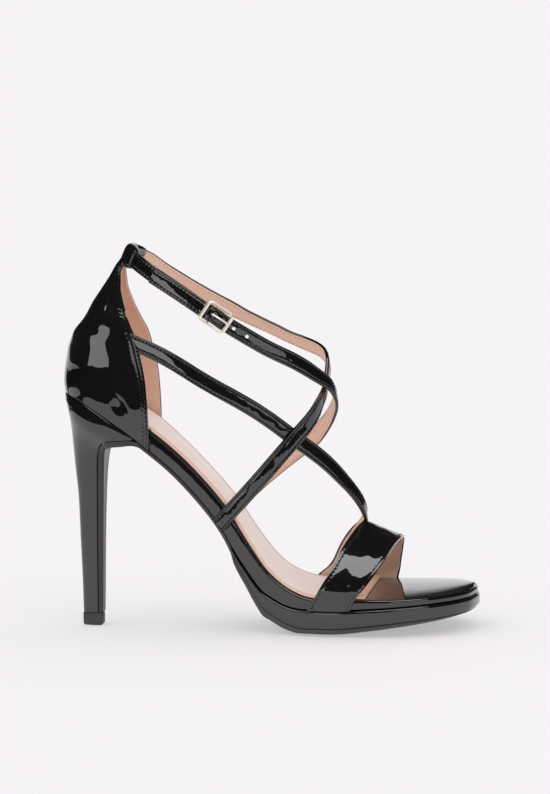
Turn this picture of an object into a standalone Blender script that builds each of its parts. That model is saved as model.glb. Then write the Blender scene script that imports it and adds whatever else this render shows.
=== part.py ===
"""Strappy stiletto sandal, one right shoe, standing empty on its sole.

+X points to the toe, +Y to the medial side and +Z up, with the floor at Z = 0.
Everything is worked out in metres from the heel back and the shoe's centre line,
and the finished shoe is then centred over the origin.
"""
import math

import bmesh
import bpy
import numpy as np
from mathutils import Vector

# Driving dimensions of the last and the sole
LENGTH = 0.2065
HEEL_HEIGHT = 0.1157
SEAT_LENGTH = 0.0447
SEAT_WIDTH = 0.0484
SEAT_SHARE = 0.2165
WAIST_WIDTH = 0.0460
BALL_WIDTH = 0.0780
BOARD_THICKNESS = 0.0080
PLATFORM_THICKNESS = 0.0090
PLATFORM_LEDGE = 0.0008
OUTSOLE_THICKNESS = 0.0037
OUTSOLE_INSET = 0.0006
TREAD_EDGE_LIFT = 0.0017
SOCK_THICKNESS = 0.0012
SOCK_INSET = 0.0018
SOCK_LENGTH = 0.1540
TOE_RISE = 0.0016
MEDIAL_DROP = 0.0013
HEEL_TIP_HEIGHT = 0.0063
HEEL_TIP_OVERHANG = 0.0002
GAP = 0.0003
BOARD_STEP = 0.0007
COUNTER_CLEARANCE = 0.0002
SIDE_CLEARANCE = 0.0006
SOCK_CLEARANCE = 0.0005
TOP_EDGE_ROUND = 0.0013
LOW_EDGE_ROUND = 0.0009
SOCK_EDGE_ROUND = 0.0009
TREAD_EDGE_ROUND = 0.0004
FINE_ROUND = 0.0002

# Driving dimensions of the upper
WALL = 0.0020
COUNTER_HEIGHT = 0.0675
STRAP_WIDTH = 0.0080
STRAP_THICKNESS = 0.0020
STRAP_LAP = 0.0004
STRAP_SLIP = 0.0003
ANKLE_TO_SEAT = 1.157
LOOP_LENGTH = 0.0215
LOOP_CASING = 0.0020
BAND_HEIGHT = 0.0343
BAND_THICKNESS = 0.0020
HOLE_RADIUS = 0.0010

# Driving dimensions of the buckle
BUCKLE_LENGTH = 0.0152
BUCKLE_BAR = 0.0015
BUCKLE_CORNER = 0.0022
BUCKLE_RISE = 0.0012
BUCKLE_ROOM = 0.0007
BUCKLE_AHEAD = 0.0026
CENTRE_BAR_RADIUS = 0.0006
PIN_RADIUS = 0.0005
PIN_OVERHANG = 0.0010
BILLET_HUMP = 0.0070

# Fineness of the faceted surfaces
LAYER_STEP = 0.0054
STRAP_STEP = 0.0052
WELD = 0.000004
COUNTER_COLUMNS = 20
COUNTER_RINGS = 14
HEEL_BACK_POINTS = 14
LAST_SQUARENESS = 2.7

# Profile of the sole, a row for each station from heel back to toe tip. "along" is a share of
# LENGTH, "rise" of the seat's rise above the ball, "spring" of TOE_RISE, and the three layers
# are shares of their own thickness, measured square to the slope. "drop" is the share of
# MEDIAL_DROP by which the medial edge is lower than the lateral one.
PROFILE_COLUMNS = ("along", "rise", "spring", "board", "platform", "outsole", "drop")
PROFILE = (
    (0.0000, 1.0000, 0.0, 0.96, 0.00, 0.76, 0.00),
    (0.0480, 0.9724, 0.0, 0.92, 0.00, 0.76, 0.00),
    (0.0964, 0.9295, 0.0, 0.96, 0.00, 0.76, 0.00),
    (0.1448, 0.8780, 0.0, 1.00, 0.00, 0.76, 0.00),
    (0.1835, 0.8322, 0.0, 1.02, 0.00, 0.76, 0.00),
    (0.2174, 0.7865, 0.0, 1.03, 0.00, 0.76, 0.00),
    (0.2755, 0.6940, 0.0, 1.00, 0.00, 0.76, 0.70),
    (0.3385, 0.5710, 0.0, 0.99, 0.00, 0.76, 1.00),
    (0.3990, 0.4280, 0.0, 1.00, 0.08, 0.77, 1.00),
    (0.4475, 0.2774, 0.0, 1.00, 0.24, 0.80, 1.00),
    (0.4780, 0.1878, 0.0, 1.01, 0.42, 0.86, 1.00),
    (0.5031, 0.1240, 0.0, 1.03, 0.57, 0.92, 0.95),
    (0.5370, 0.0658, 0.0, 1.00, 0.74, 0.97, 0.80),
    (0.5651, 0.0324, 0.0, 0.92, 0.86, 1.00, 0.50),
    (0.5927, 0.0105, 0.0, 0.80, 0.97, 1.00, 0.15),
    (0.6218, 0.0000, 0.0, 0.70, 1.00, 1.00, 0.00),
    (0.6533, 0.0000, 0.0, 0.70, 1.00, 1.00, 0.00),
    (0.7792, 0.0000, 0.0, 0.56, 0.86, 0.95, 0.00),
    (0.8276, 0.0000, 0.1, 0.50, 0.81, 0.89, 0.00),
    (0.8906, 0.0000, 0.4, 0.45, 0.77, 0.76, 0.00),
    (0.9390, 0.0000, 0.7, 0.44, 0.71, 0.70, 0.00),
    (1.0000, 0.0000, 1.0, 0.42, 0.62, 0.65, 0.00),
)
BALL_ROW = 16
TREAD_FLAT_START = 0.5820
TREAD_FLAT_END = 0.6533
PLATFORM_START = 0.4150
OUTSOLE_TURN = 0.1950

# Outline of the sole from above. "along" is a share of LENGTH, "lateral" and "medial" are shares
# of the full width that the row names.
OUTLINE_COLUMNS = ("along", "width", "lateral", "medial")
OUTLINE = (
    (0.0000, "seat", 0.000, 0.000),
    (0.0034, "seat", 0.124, 0.124),
    (0.0165, "seat", 0.269, 0.269),
    (0.0407, "seat", 0.388, 0.388),
    (0.0770, "seat", 0.467, 0.467),
    (0.1206, "seat", 0.500, 0.500),
    (0.1690, "seat", 0.500, 0.500),
    (0.2165, "seat", 0.482, 0.482),
    (0.2755, "waist", 0.500, 0.465),
    (0.3385, "waist", 0.500, 0.440),
    (0.4015, "waist", 0.513, 0.452),
    (0.4547, "ball", 0.331, 0.300),
    (0.5031, "ball", 0.372, 0.350),
    (0.5613, "ball", 0.423, 0.412),
    (0.6194, "ball", 0.464, 0.469),
    (0.6775, "ball", 0.487, 0.503),
    (0.7356, "ball", 0.495, 0.518),
    (0.7792, "ball", 0.492, 0.518),
    (0.8276, "ball", 0.474, 0.505),
    (0.8712, "ball", 0.444, 0.482),
    (0.9148, "ball", 0.385, 0.441),
    (0.9487, "ball", 0.314, 0.385),
    (0.9729, "ball", 0.231, 0.321),
    (0.9898, "ball", 0.135, 0.237),
    (1.0000, "ball", -0.058, 0.058),
)

# Heel from its tip to above the seat. "back" and "front" are shares of SEAT_LENGTH from the heel
# back, the heights are shares of HEEL_HEIGHT, and "half" is a share of half the seat's width.
HEEL_COLUMNS = ("back", "front", "back_up", "front_up", "half")
HEEL_ROWS = (
    (0.168, 0.349, 0.057, 0.057, 0.188),
    (0.161, 0.349, 0.195, 0.195, 0.192),
    (0.145, 0.351, 0.372, 0.372, 0.208),
    (0.130, 0.358, 0.550, 0.550, 0.250),
    (0.098, 0.371, 0.693, 0.693, 0.345),
    (0.078, 0.387, 0.788, 0.758, 0.470),
    (0.060, 0.434, 0.874, 0.800, 0.660),
    (0.038, 0.535, 0.930, 0.822, 0.840),
    (0.016, 0.691, 0.972, 0.829, 0.945),
    (0.000, 0.832, 1.000, 0.834, 0.990),
    (0.000, 0.832, 1.060, 0.900, 0.990),
)

# Counter from its lower edge to the back loop. "back" and "edge" are shares of SEAT_LENGTH from
# the heel back, the heights are shares of COUNTER_HEIGHT above the lower edge, and "half" is a
# share of half the seat's width.
COUNTER_COLUMNS_NAMES = ("back", "edge", "back_up", "edge_up", "half")
COUNTER_ROWS = (
    (0.000, 1.000, 0.000, 0.000, 1.000),
    (-0.007, 1.007, 0.100, 0.150, 1.035),
    (0.002, 1.000, 0.233, 0.313, 1.070),
    (0.027, 0.978, 0.351, 0.513, 1.080),
    (0.089, 0.924, 0.471, 0.698, 1.045),
    (0.186, 0.870, 0.570, 0.834, 0.975),
    (0.271, 0.799, 0.652, 0.935, 0.860),
    (0.383, 0.732, 0.770, 1.053, 0.690),
    (0.494, 0.678, 0.886, 1.194, 0.520),
    (0.590, 0.672, 0.990, 1.300, 0.400),
    (0.645, 0.720, 1.040, 1.360, 0.360),
)

# The last above the sole, for the way the straps face. "up" is a share of the ankle's height,
# "front" and "back" are shares of LENGTH, and "half" is a share of ANKLE_WIDTH.
LAST_COLUMNS = ("up", "front", "back", "half")
LAST_ROWS = (
    (0.00, 0.870, 0.090, 0.68),
    (0.16, 0.790, 0.065, 0.64),
    (0.30, 0.728, 0.040, 0.55),
    (0.44, 0.700, 0.028, 0.50),
    (0.55, 0.678, 0.020, 0.50),
    (0.66, 0.655, 0.015, 0.52),
    (0.77, 0.620, 0.030, 0.54),
    (0.88, 0.580, 0.080, 0.52),
    (1.02, 0.540, 0.145, 0.46),
    (1.10, 0.525, 0.175, 0.43),
)

# Strap routes. "along" is a share of LENGTH, "across" of the ankle's width (lateral is negative),
# and "up" of the ankle's height. A row whose "across" is None lies on the board's side there.
# "lean" is how many degrees the strap's upper edge leans in from the last's surface.
ROUTE_COLUMNS = ("along", "across", "up", "lean")
LATERAL, MEDIAL = -1, 1
BILLET_ROUTE = (
    (0.3920, None, 0.2980, 0),
    (0.4160, None, 0.3330, 0),
    (0.4420, 0.440, 0.3640, 0),
    (0.4780, 0.452, 0.4000, 6),
    (0.5149, 0.429, 0.4340, 10),
    (0.5602, 0.375, 0.4740, 10),
    (0.5903, 0.330, 0.5010, 6),
    (0.6182, 0.259, 0.5370, 0),
    (0.6354, 0.196, 0.5641, 0),
    (0.6521, 0.107, 0.5983, 0),
    (0.6593, 0.015, 0.6250, 0),
    (0.6574, -0.054, 0.6473, 0),
    (0.6485, -0.116, 0.6695, 0),
    (0.6301, -0.205, 0.6909, 0),
    (0.6083, -0.277, 0.7113, 0),
    (0.5707, -0.375, 0.7421, 0),
    (0.5172, -0.455, 0.7750, 0),
    (0.4741, -0.486, 0.8035, 4),
    (0.4262, -0.500, 0.8365, 10),
    (0.3735, -0.504, 0.8745, 12),
    (0.3487, -0.498, 0.8930, 12),
    (0.2993, -0.468, 0.9290, 6),
    (0.2310, -0.375, 0.9740, 0),
)
BUCKLE_ROW = 19
CARRIER_ROUTE = (
    (0.3865, None, 0.2960, 0),
    (0.4110, None, 0.3270, 0),
    (0.4383, -0.452, 0.3600, 0),
    (0.4872, -0.455, 0.4210, 0),
    (0.5351, -0.430, 0.4830, 0),
    (0.5828, -0.375, 0.5452, -4),
    (0.6128, -0.286, 0.5893, -14),
    (0.6265, -0.214, 0.6209, -20),
    (0.6360, -0.107, 0.6516, -18),
    (0.6390, 0.000, 0.6890, -8),
    (0.6395, 0.071, 0.7180, -8),
    (0.6310, 0.161, 0.7390, -10),
    (0.5990, 0.286, 0.7580, 2),
    (0.5499, 0.375, 0.7763, 18),
    (0.4885, 0.438, 0.8058, 28),
    (0.4349, 0.478, 0.8320, 24),
    (0.3879, 0.489, 0.8590, 16),
    (0.3249, 0.482, 0.8960, 6),
    (0.2659, 0.420, 0.9380, 0),
    (0.2230, 0.325, 0.9740, 0),
    (0.1900, 0.190, 1.0060, 0),
    (0.1610, 0.000, 1.0190, 0),
    (0.1820, -0.190, 1.0080, 0),
)
LOOP_ROW = 21
INSTEP_ROUTE = (
    (0.1690, -0.382, 0.7970, 0),
    (0.1935, -0.396, 0.7860, 0),
    (0.2252, -0.425, 0.7720, 0),
    (0.2881, -0.470, 0.7370, 0),
    (0.3525, -0.490, 0.6930, 0),
    (0.4363, -0.486, 0.6400, 0),
    (0.5104, -0.435, 0.5850, 0),
    (0.5700, -0.352, 0.5300, 0),
    (0.6349, -0.240, 0.4685, -6),
    (0.6809, -0.140, 0.4095, -12),
    (0.7164, -0.030, 0.3500, -14),
    (0.7275, 0.070, 0.3060, -10),
    (0.7180, 0.190, 0.2670, 0),
    (0.7000, 0.300, 0.2400, 0),
)

# Vamp band, a row for each section from the lateral end over the instep to the medial end.
# "back" and "front" are shares of LENGTH, "across" of BALL_WIDTH and "up" of BAND_HEIGHT above
# the board; a row whose "across" is None lies on the board's side.
BAND_COLUMNS = ("back", "back_across", "back_up", "front", "front_across", "front_up")
BAND_ROWS = (
    (0.6065, None, -0.155, 0.7100, None, -0.155),
    (0.6215, None, 0.000, 0.7240, None, 0.020),
    (0.6330, -0.500, 0.120, 0.7390, -0.513, 0.130),
    (0.6500, -0.482, 0.270, 0.7560, -0.502, 0.260),
    (0.6680, -0.430, 0.450, 0.7740, -0.465, 0.410),
    (0.6860, -0.335, 0.680, 0.7950, -0.385, 0.590),
    (0.7010, -0.215, 0.830, 0.8080, -0.265, 0.710),
    (0.7130, -0.095, 0.930, 0.8170, -0.130, 0.765),
    (0.7215, 0.020, 0.980, 0.8205, 0.010, 0.765),
    (0.7160, 0.130, 0.965, 0.8180, 0.150, 0.700),
    (0.6940, 0.240, 0.860, 0.8120, 0.280, 0.590),
    (0.6660, 0.340, 0.680, 0.8050, 0.385, 0.430),
    (0.6350, 0.430, 0.400, 0.7980, 0.470, 0.260),
    (0.6070, 0.480, 0.170, 0.7930, 0.525, 0.120),
    (0.5780, None, 0.020, 0.7890, None, 0.020),
    (0.5640, None, -0.155, 0.7850, None, -0.110),
)

# Colours, base and roughness of each finish, with its metallic value
FINISHES = {
    "patent_leather": ((0.012, 0.010, 0.011, 1.0), 0.12, 0.0),
    "sock_leather": ((0.78, 0.60, 0.53, 1.0), 0.55, 0.0),
    "tread_rubber": ((0.030, 0.028, 0.030, 1.0), 0.60, 0.0),
    "lacquered_heel": ((0.016, 0.014, 0.015, 1.0), 0.18, 0.0),
    "tip_rubber": ((0.045, 0.045, 0.047, 1.0), 0.70, 0.0),
    "buckle_metal": ((0.82, 0.76, 0.62, 1.0), 0.15, 1.0),
}


def column(rows, names, name):
    """The values of one named column."""
    return np.array([row[names.index(name)] for row in rows], float)


def slopes(x, y):
    """Slopes at the rows of a curve that doesn't overshoot between them."""
    steps = np.diff(y) / np.diff(x)
    result = np.zeros_like(y)
    for i in range(1, len(y) - 1):
        if steps[i - 1] * steps[i] > 0.0:
            both = x[i + 1] - x[i - 1]
            first = (x[i + 1] - x[i] + both) / steps[i - 1]
            second = (x[i] - x[i - 1] + both) / steps[i]
            result[i] = 3.0 * both / (first + second)
    result[0], result[-1] = steps[0], steps[-1]
    return result


def smooth(rows_x, rows_y, x):
    """Value at x of the smooth curve through the rows."""
    rows_x, rows_y = np.asarray(rows_x, float), np.asarray(rows_y, float)
    gradient = slopes(rows_x, rows_y)
    i = int(np.clip(np.searchsorted(rows_x, x) - 1, 0, len(rows_x) - 2))
    width = rows_x[i + 1] - rows_x[i]
    t = (np.clip(x, rows_x[0], rows_x[-1]) - rows_x[i]) / width
    return ((1 + 2 * t) * (1 - t) ** 2 * rows_y[i] + t * (1 - t) ** 2 * width * gradient[i]
            + t * t * (3 - 2 * t) * rows_y[i + 1] + t * t * (t - 1) * width * gradient[i + 1])


def spline(points, step):
    """Points about one step apart on the smooth curve through the given points."""
    points = np.asarray(points, float)
    lengths = np.linalg.norm(np.diff(points, axis=0), axis=1)
    knots = np.concatenate([[0.0], np.cumsum(lengths)])
    count = len(points)
    system = np.eye(count)
    right = np.zeros_like(points)
    for i in range(1, count - 1):
        before, after = lengths[i - 1], lengths[i]
        system[i, i - 1:i + 2] = before, 2.0 * (before + after), after
        rises = (points[i + 1] - points[i]) / after - (points[i] - points[i - 1]) / before
        right[i] = 6.0 * rises
    bends = np.linalg.solve(system, right)
    samples = max(2, round(knots[-1] / step) + 1)
    result = []
    for s in np.linspace(0.0, knots[-1], samples):
        i = int(np.clip(np.searchsorted(knots, s) - 1, 0, count - 2))
        h = lengths[i]
        a, b = (knots[i + 1] - s) / h, (s - knots[i]) / h
        curve = a * points[i] + b * points[i + 1]
        curve = curve + ((a ** 3 - a) * bends[i] + (b ** 3 - b) * bends[i + 1]) * h * h / 6.0
        result.append(curve)
    return np.array(result)


def distance(share):
    """Distance from the heel back for a table's share of LENGTH, in which the seat keeps its own."""
    if share < SEAT_SHARE:
        return share / SEAT_SHARE * SEAT_LENGTH
    return SEAT_LENGTH + (share - SEAT_SHARE) / (1.0 - SEAT_SHARE) * (LENGTH - SEAT_LENGTH)


# Heights of the sole's layers

PROFILE_X = np.array([distance(row[0]) for row in PROFILE])


def profile(name, x):
    """One column of the sole's profile at x metres from the heel back."""
    return smooth(PROFILE_X, column(PROFILE, PROFILE_COLUMNS, name), x)


def ball_thickness(name):
    """Share of a layer's thickness at the ball."""
    return PROFILE[BALL_ROW][PROFILE_COLUMNS.index(name)]


BALL_TOP = (BOARD_THICKNESS * ball_thickness("board") + PLATFORM_THICKNESS * ball_thickness("platform")
            + OUTSOLE_THICKNESS * ball_thickness("outsole") + 2.0 * GAP)
SEAT_TOP = HEEL_HEIGHT + BOARD_THICKNESS * PROFILE[0][PROFILE_COLUMNS.index("board")]
ANKLE_HEIGHT = HEEL_HEIGHT + COUNTER_HEIGHT
ANKLE_WIDTH = ANKLE_TO_SEAT * SEAT_WIDTH
PLATFORM_START_X = distance(PLATFORM_START)
FLAT_START_X, FLAT_END_X = distance(TREAD_FLAT_START), distance(TREAD_FLAT_END)


def board_top(x):
    return BALL_TOP + profile("rise", x) * (SEAT_TOP - BALL_TOP) + profile("spring", x) * TOE_RISE


def square(x):
    """How much longer a straight-down depth is than one square to the slope."""
    reach = LENGTH / 100.0
    rise = board_top(min(x + reach, LENGTH)) - board_top(max(x - reach, 0.0))
    run = min(x + reach, LENGTH) - max(x - reach, 0.0)
    return math.hypot(1.0, rise / run)


def board_low(x):
    return board_top(x) - BOARD_THICKNESS * profile("board", x) * square(x)


def clearance(x):
    """Depth straight down that leaves the gap square to the slope."""
    return GAP * square(x)


def platform_top(x):
    return board_low(x) - clearance(x)


def platform_low(x):
    return platform_top(x) - PLATFORM_THICKNESS * profile("platform", x) * square(x)


def outsole_top(x):
    if x < PLATFORM_START_X:
        return board_low(x) - clearance(x)
    return platform_low(x) - clearance(x)


def tread(x):
    """Height of the tread on the centre line, flat on the floor under the ball."""
    if FLAT_START_X <= x <= FLAT_END_X:
        return 0.0
    depth = OUTSOLE_THICKNESS * profile("outsole", x)
    if x > PLATFORM_START_X:
        wedge = min(1.0, profile("platform", x) / profile("platform", FLAT_START_X))
        depth += PLATFORM_THICKNESS * profile("platform", x) + GAP * wedge
    return max(0.0, board_low(x) - clearance(x) - depth * square(x))


# Outline of the sole

def closed_outline():
    """Dense outline from above, heel back to toe on the medial side and back on the lateral."""
    widths = {"seat": SEAT_WIDTH, "waist": WAIST_WIDTH, "ball": BALL_WIDTH}
    medial = [(distance(row[0]), row[3] * widths[row[1]]) for row in OUTLINE]
    lateral = [(distance(row[0]), -row[2] * widths[row[1]]) for row in OUTLINE[1:-1]]
    points = np.array(medial + lateral[::-1])
    count = len(points)
    dense = []
    for i in range(count):
        p0, p1, p2, p3 = (points[(i + k) % count] for k in (-1, 0, 1, 2))
        for t in np.linspace(0.0, 1.0, 8, endpoint=False):
            dense.append(0.5 * (2 * p1 + (p2 - p0) * t + (2 * p0 - 5 * p1 + 4 * p2 - p3) * t * t
                                + (3 * p1 - p0 - 3 * p2 + p3) * t ** 3))
    return np.array(dense)


OUTLINE_DENSE = closed_outline()


def inset_outline(inset):
    """The lateral and the medial half of the outline, moved inwards, each sorted from the heel."""
    ahead = np.roll(OUTLINE_DENSE, -1, axis=0) - np.roll(OUTLINE_DENSE, 1, axis=0)
    normal = np.stack([-ahead[:, 1], ahead[:, 0]], axis=1)
    normal /= np.linalg.norm(normal, axis=1)[:, None]
    inwards = OUTLINE_DENSE - normal * inset
    first, last = int(np.argmin(inwards[:, 0])), int(np.argmax(inwards[:, 0]))
    turned = np.roll(inwards, -first, axis=0)
    last = (last - first) % len(inwards)
    medial, lateral = turned[:last + 1], np.concatenate([turned[last:], turned[:1]])[::-1]
    return lateral, medial


class Outline:
    """The sole's outline at one inset, read by the distance from the heel back."""

    def __init__(self, inset):
        self.lateral, self.medial = inset_outline(inset)
        self.start = float(self.medial[0, 0])
        self.end = float(self.medial[-1, 0])

    def at(self, x):
        lateral = float(np.interp(x, self.lateral[:, 0], self.lateral[:, 1]))
        medial = float(np.interp(x, self.medial[:, 0], self.medial[:, 1]))
        return lateral, medial

    def side(self, x, side):
        return self.at(x)[0 if side == LATERAL else 1]


FULL = Outline(0.0)


def drop(x, y):
    """How much lower the layers are at this point than on their lateral edge."""
    lateral, medial = FULL.at(x)
    share = (y - lateral) / max(medial - lateral, GAP)
    return MEDIAL_DROP * profile("drop", x) * min(max(share, 0.0), 1.1) ** 2


def slope_marks():
    """Distances from the heel back that are evenly apart along the sloping sole."""
    fine = np.linspace(0.0, LENGTH, 400)
    heights = np.array([board_top(x) for x in fine])
    lengths = np.concatenate([[0.0], np.cumsum(np.hypot(np.diff(fine), np.diff(heights)))])
    count = round(lengths[-1] / LAYER_STEP) + 1
    return np.interp(np.linspace(0.0, lengths[-1], count), lengths, fine)


MARKS = slope_marks()
ROUNDING = (0.04, 0.17, 0.41, 0.81, 1.44)


def stations(start, end, round_start=False, round_end=False):
    """The shared distances from start to end, closer together where the outline rounds off."""
    first = [start + share * LAYER_STEP for share in ROUNDING] if round_start else [start]
    last = [end - share * LAYER_STEP for share in ROUNDING[::-1]] if round_end else [end]
    room = LAYER_STEP * 0.45
    between = [x for x in MARKS if first[-1] + room < x < last[0] - room]
    return first + between + last


# Mesh helpers

def material(name):
    colour, roughness, metallic = FINISHES[name]
    finish = bpy.data.materials.get(name) or bpy.data.materials.new(name)
    finish.use_nodes = True
    shader = finish.node_tree.nodes["Principled BSDF"]
    shader.inputs["Base Color"].default_value = colour
    shader.inputs["Roughness"].default_value = roughness
    shader.inputs["Metallic"].default_value = metallic
    return finish


def add_object(name, bm, finish, sharp=35.0):
    """A new object from the bmesh, shaded smooth but for its sharp edges."""
    bmesh.ops.recalc_face_normals(bm, faces=bm.faces)
    mesh = bpy.data.meshes.new(name)
    bm.to_mesh(mesh)
    bm.free()
    mesh.shade_smooth()
    mesh.set_sharp_from_angle(angle=math.radians(sharp))
    obj = bpy.data.objects.new(name, mesh)
    obj.data.materials.append(material(finish))
    bpy.context.scene.collection.objects.link(obj)
    return obj


def loft(rings):
    """A closed bmesh through rings of equally many points, with a cap at each end."""
    bm = bmesh.new()
    loops = [[bm.verts.new(point) for point in ring] for ring in rings]
    for near, far in zip(loops, loops[1:]):
        for i in range(len(near)):
            j = (i + 1) % len(near)
            bm.faces.new((near[i], near[j], far[j], far[i]))
    bm.faces.new(loops[0])
    bm.faces.new(loops[-1])
    return bm


def sheet_solid(outer, inner):
    """A closed bmesh between two equal grids of points."""
    bm = bmesh.new()
    rows, columns = len(outer), len(outer[0])
    grids = [[[bm.verts.new(point) for point in row] for row in grid] for grid in (outer, inner)]
    for grid in grids:
        for i in range(rows - 1):
            for j in range(columns - 1):
                bm.faces.new((grid[i][j], grid[i + 1][j], grid[i + 1][j + 1], grid[i][j + 1]))
    rim = [(i, 0) for i in range(rows)] + [(rows - 1, j) for j in range(1, columns)]
    rim += [(i, columns - 1) for i in range(rows - 2, -1, -1)] + [(0, j) for j in range(columns - 2, 0, -1)]
    for (i, j), (k, m) in zip(rim, rim[1:] + rim[:1]):
        bm.faces.new((grids[0][i][j], grids[0][k][m], grids[1][k][m], grids[1][i][j]))
    return bm


def combine(target, tool, operation):
    """Applies a Boolean of the tool object to the target, and removes the tool."""
    modifier = target.modifiers.new(operation.lower(), "BOOLEAN")
    modifier.operation = operation
    modifier.solver = "EXACT"
    modifier.object = tool
    bpy.context.view_layer.update()
    evaluated = target.evaluated_get(bpy.context.evaluated_depsgraph_get())
    result = bpy.data.meshes.new_from_object(evaluated)
    target.modifiers.clear()
    target.data = result
    bpy.data.objects.remove(tool)


def tidy(obj, finish, sharp=35.0):
    """Merges the doubled points that a Boolean leaves, and gives the object one material."""
    bm = bmesh.new()
    bm.from_mesh(obj.data)
    bmesh.ops.remove_doubles(bm, verts=bm.verts, dist=WELD)
    bmesh.ops.dissolve_degenerate(bm, edges=bm.edges, dist=WELD / 2.0)
    bmesh.ops.triangulate(bm, faces=bm.faces)
    bm.to_mesh(obj.data)
    bm.free()
    obj.data.materials.clear()
    obj.data.materials.append(material(finish))
    obj.data.shade_smooth()
    obj.data.set_sharp_from_angle(angle=math.radians(sharp))


# Sole layers

def layer_ring(x, top, low, outline, top_round, low_round, lift=0.0, flat=0.62):
    """One section of a layer: rounded upper and lower edges, and a tread that lifts to its edges."""
    lateral, medial = outline
    room = 0.45 * (top - low - lift)
    upper = min(top_round, room)
    lower = min(low_round, room)
    half = (medial - lateral) / 2.0
    middle = (medial + lateral) / 2.0
    ring = []
    for side in (LATERAL, MEDIAL):
        edge = half * side
        corner = [(edge, top - upper), (edge - side * 0.3 * upper, top - 0.3 * upper), (edge - side * upper, top)]
        foot = [(edge, low + lift + lower), (edge - side * 0.3 * lower, low + lift + 0.3 * lower),
                (edge - side * lower, low + lift), (edge * flat, low)]
        ring.append((corner, foot))
    (lateral_corner, lateral_foot), (medial_corner, medial_foot) = ring
    points = lateral_corner + medial_corner[::-1] + medial_foot + lateral_foot[::-1]
    return [(x, middle + y, z - drop(x, middle + y)) for y, z in points]


def make_board():
    """The insole board: narrower inside the counter, full width ahead of it."""
    inside = Outline(WALL + GAP + COUNTER_CLEARANCE)
    step = SEAT_LENGTH + BOARD_STEP
    rear = stations(inside.start, step, round_start=True)
    front = stations(step + FINE_ROUND, FULL.end, round_end=True)
    rings = []
    for marks, outline in ((rear, inside), (front, FULL)):
        for x in marks:
            section = (x, board_top(x), board_low(x), outline.at(x), TOP_EDGE_ROUND, LOW_EDGE_ROUND)
            rings.append(layer_ring(*section))
    return add_object("insole_board", loft(rings), "patent_leather")


def make_platform():
    outline = Outline(-PLATFORM_LEDGE)
    marks = stations(PLATFORM_START_X + GAP, outline.end, round_end=True)
    rings = []
    for x in marks:
        section = (x, platform_top(x), platform_low(x), outline.at(x), TOP_EDGE_ROUND, LOW_EDGE_ROUND)
        rings.append(layer_ring(*section))
    return add_object("platform", loft(rings), "patent_leather")


def make_sock():
    """The padded insole sock, set in from the board's edge and cut straight across at the ball."""
    inside = Outline(WALL + GAP + COUNTER_CLEARANCE + SOCK_CLEARANCE)
    open_part = Outline(SOCK_INSET)
    rear = stations(inside.start, SEAT_LENGTH + BOARD_STEP, round_start=True)
    front = stations(SEAT_LENGTH + 2.0 * BOARD_STEP, SOCK_LENGTH)
    rings = []
    for marks, outline in ((rear, inside), (front, open_part)):
        for x in marks:
            low = board_top(x) + clearance(x)
            top = low + SOCK_THICKNESS * square(x)
            rings.append(layer_ring(x, top, low, outline.at(x), SOCK_EDGE_ROUND, FINE_ROUND))
    return add_object("insole_sock", loft(rings), "sock_leather")


# Heel

def heel_value(name, t):
    """One column of the heel's table at t, from 0 at the tip to 1 above the seat."""
    return smooth(np.linspace(0.0, 1.0, len(HEEL_ROWS)), column(HEEL_ROWS, HEEL_COLUMNS, name), t)


def heel_section(t):
    back, front = heel_value("back", t) * SEAT_LENGTH, heel_value("front", t) * SEAT_LENGTH
    back_up, front_up = heel_value("back_up", t) * HEEL_HEIGHT, heel_value("front_up", t) * HEEL_HEIGHT
    return back, front, back_up, front_up, heel_value("half", t) * SEAT_WIDTH / 2.0


def heel_ring(t, grow=0.0):
    back, front, back_up, front_up, half = heel_section(t)
    back, half = back - grow, half + grow
    points = []
    for i in range(HEEL_BACK_POINTS + 1):
        angle = math.pi * i / HEEL_BACK_POINTS
        reach = abs(math.sin(angle)) ** 0.85
        across = -math.copysign(abs(math.cos(angle)) ** 0.85, math.cos(angle))
        x = front - (front - back) * reach
        z = front_up + (back_up - front_up) * reach
        points.append((x, across * half, z))
    return points


def make_heel():
    marks = np.linspace(0.0, 1.0, 3 * (len(HEEL_ROWS) - 1) // 2 + 1)
    heel = add_object("heel", loft([heel_ring(t) for t in marks]), "lacquered_heel")
    combine(heel, seat_cutter(), "DIFFERENCE")
    tidy(heel, "lacquered_heel")
    return heel


def seat_cutter():
    """A slab whose underside follows the seat's underside, just clear of it."""
    half, height = SEAT_WIDTH, COUNTER_HEIGHT
    rings = []
    for x in np.linspace(-0.2 * SEAT_LENGTH, 1.2 * SEAT_LENGTH, 14):
        low = board_low(max(x, 0.0)) - clearance(max(x, 0.0))
        rings.append([(x, -half, low), (x, half, low), (x, half, low + height), (x, -half, low + height)])
    cutter = add_object("seat_cutter", loft(rings), "lacquered_heel")
    cutter.hide_render = True
    cutter.display_type = "WIRE"
    return cutter


def make_heel_tip():
    """The top piece under the heel and the sole's breast flap."""
    flap = GAP + OUTSOLE_THICKNESS * 0.40
    rings = []
    for z in (0.0, 0.1 * HEEL_TIP_HEIGHT, 0.9 * HEEL_TIP_HEIGHT, HEEL_TIP_HEIGHT):
        grow = HEEL_TIP_OVERHANG if 0.0 < z < HEEL_TIP_HEIGHT else 0.0
        base = heel_ring(0.0, grow)
        rings.append([(x + (flap + grow if i in (0, len(base) - 1) else 0.0), y, z)
                      for i, (x, y, _) in enumerate(base)])
    return add_object("heel_tip", loft(rings), "tip_rubber")


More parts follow.
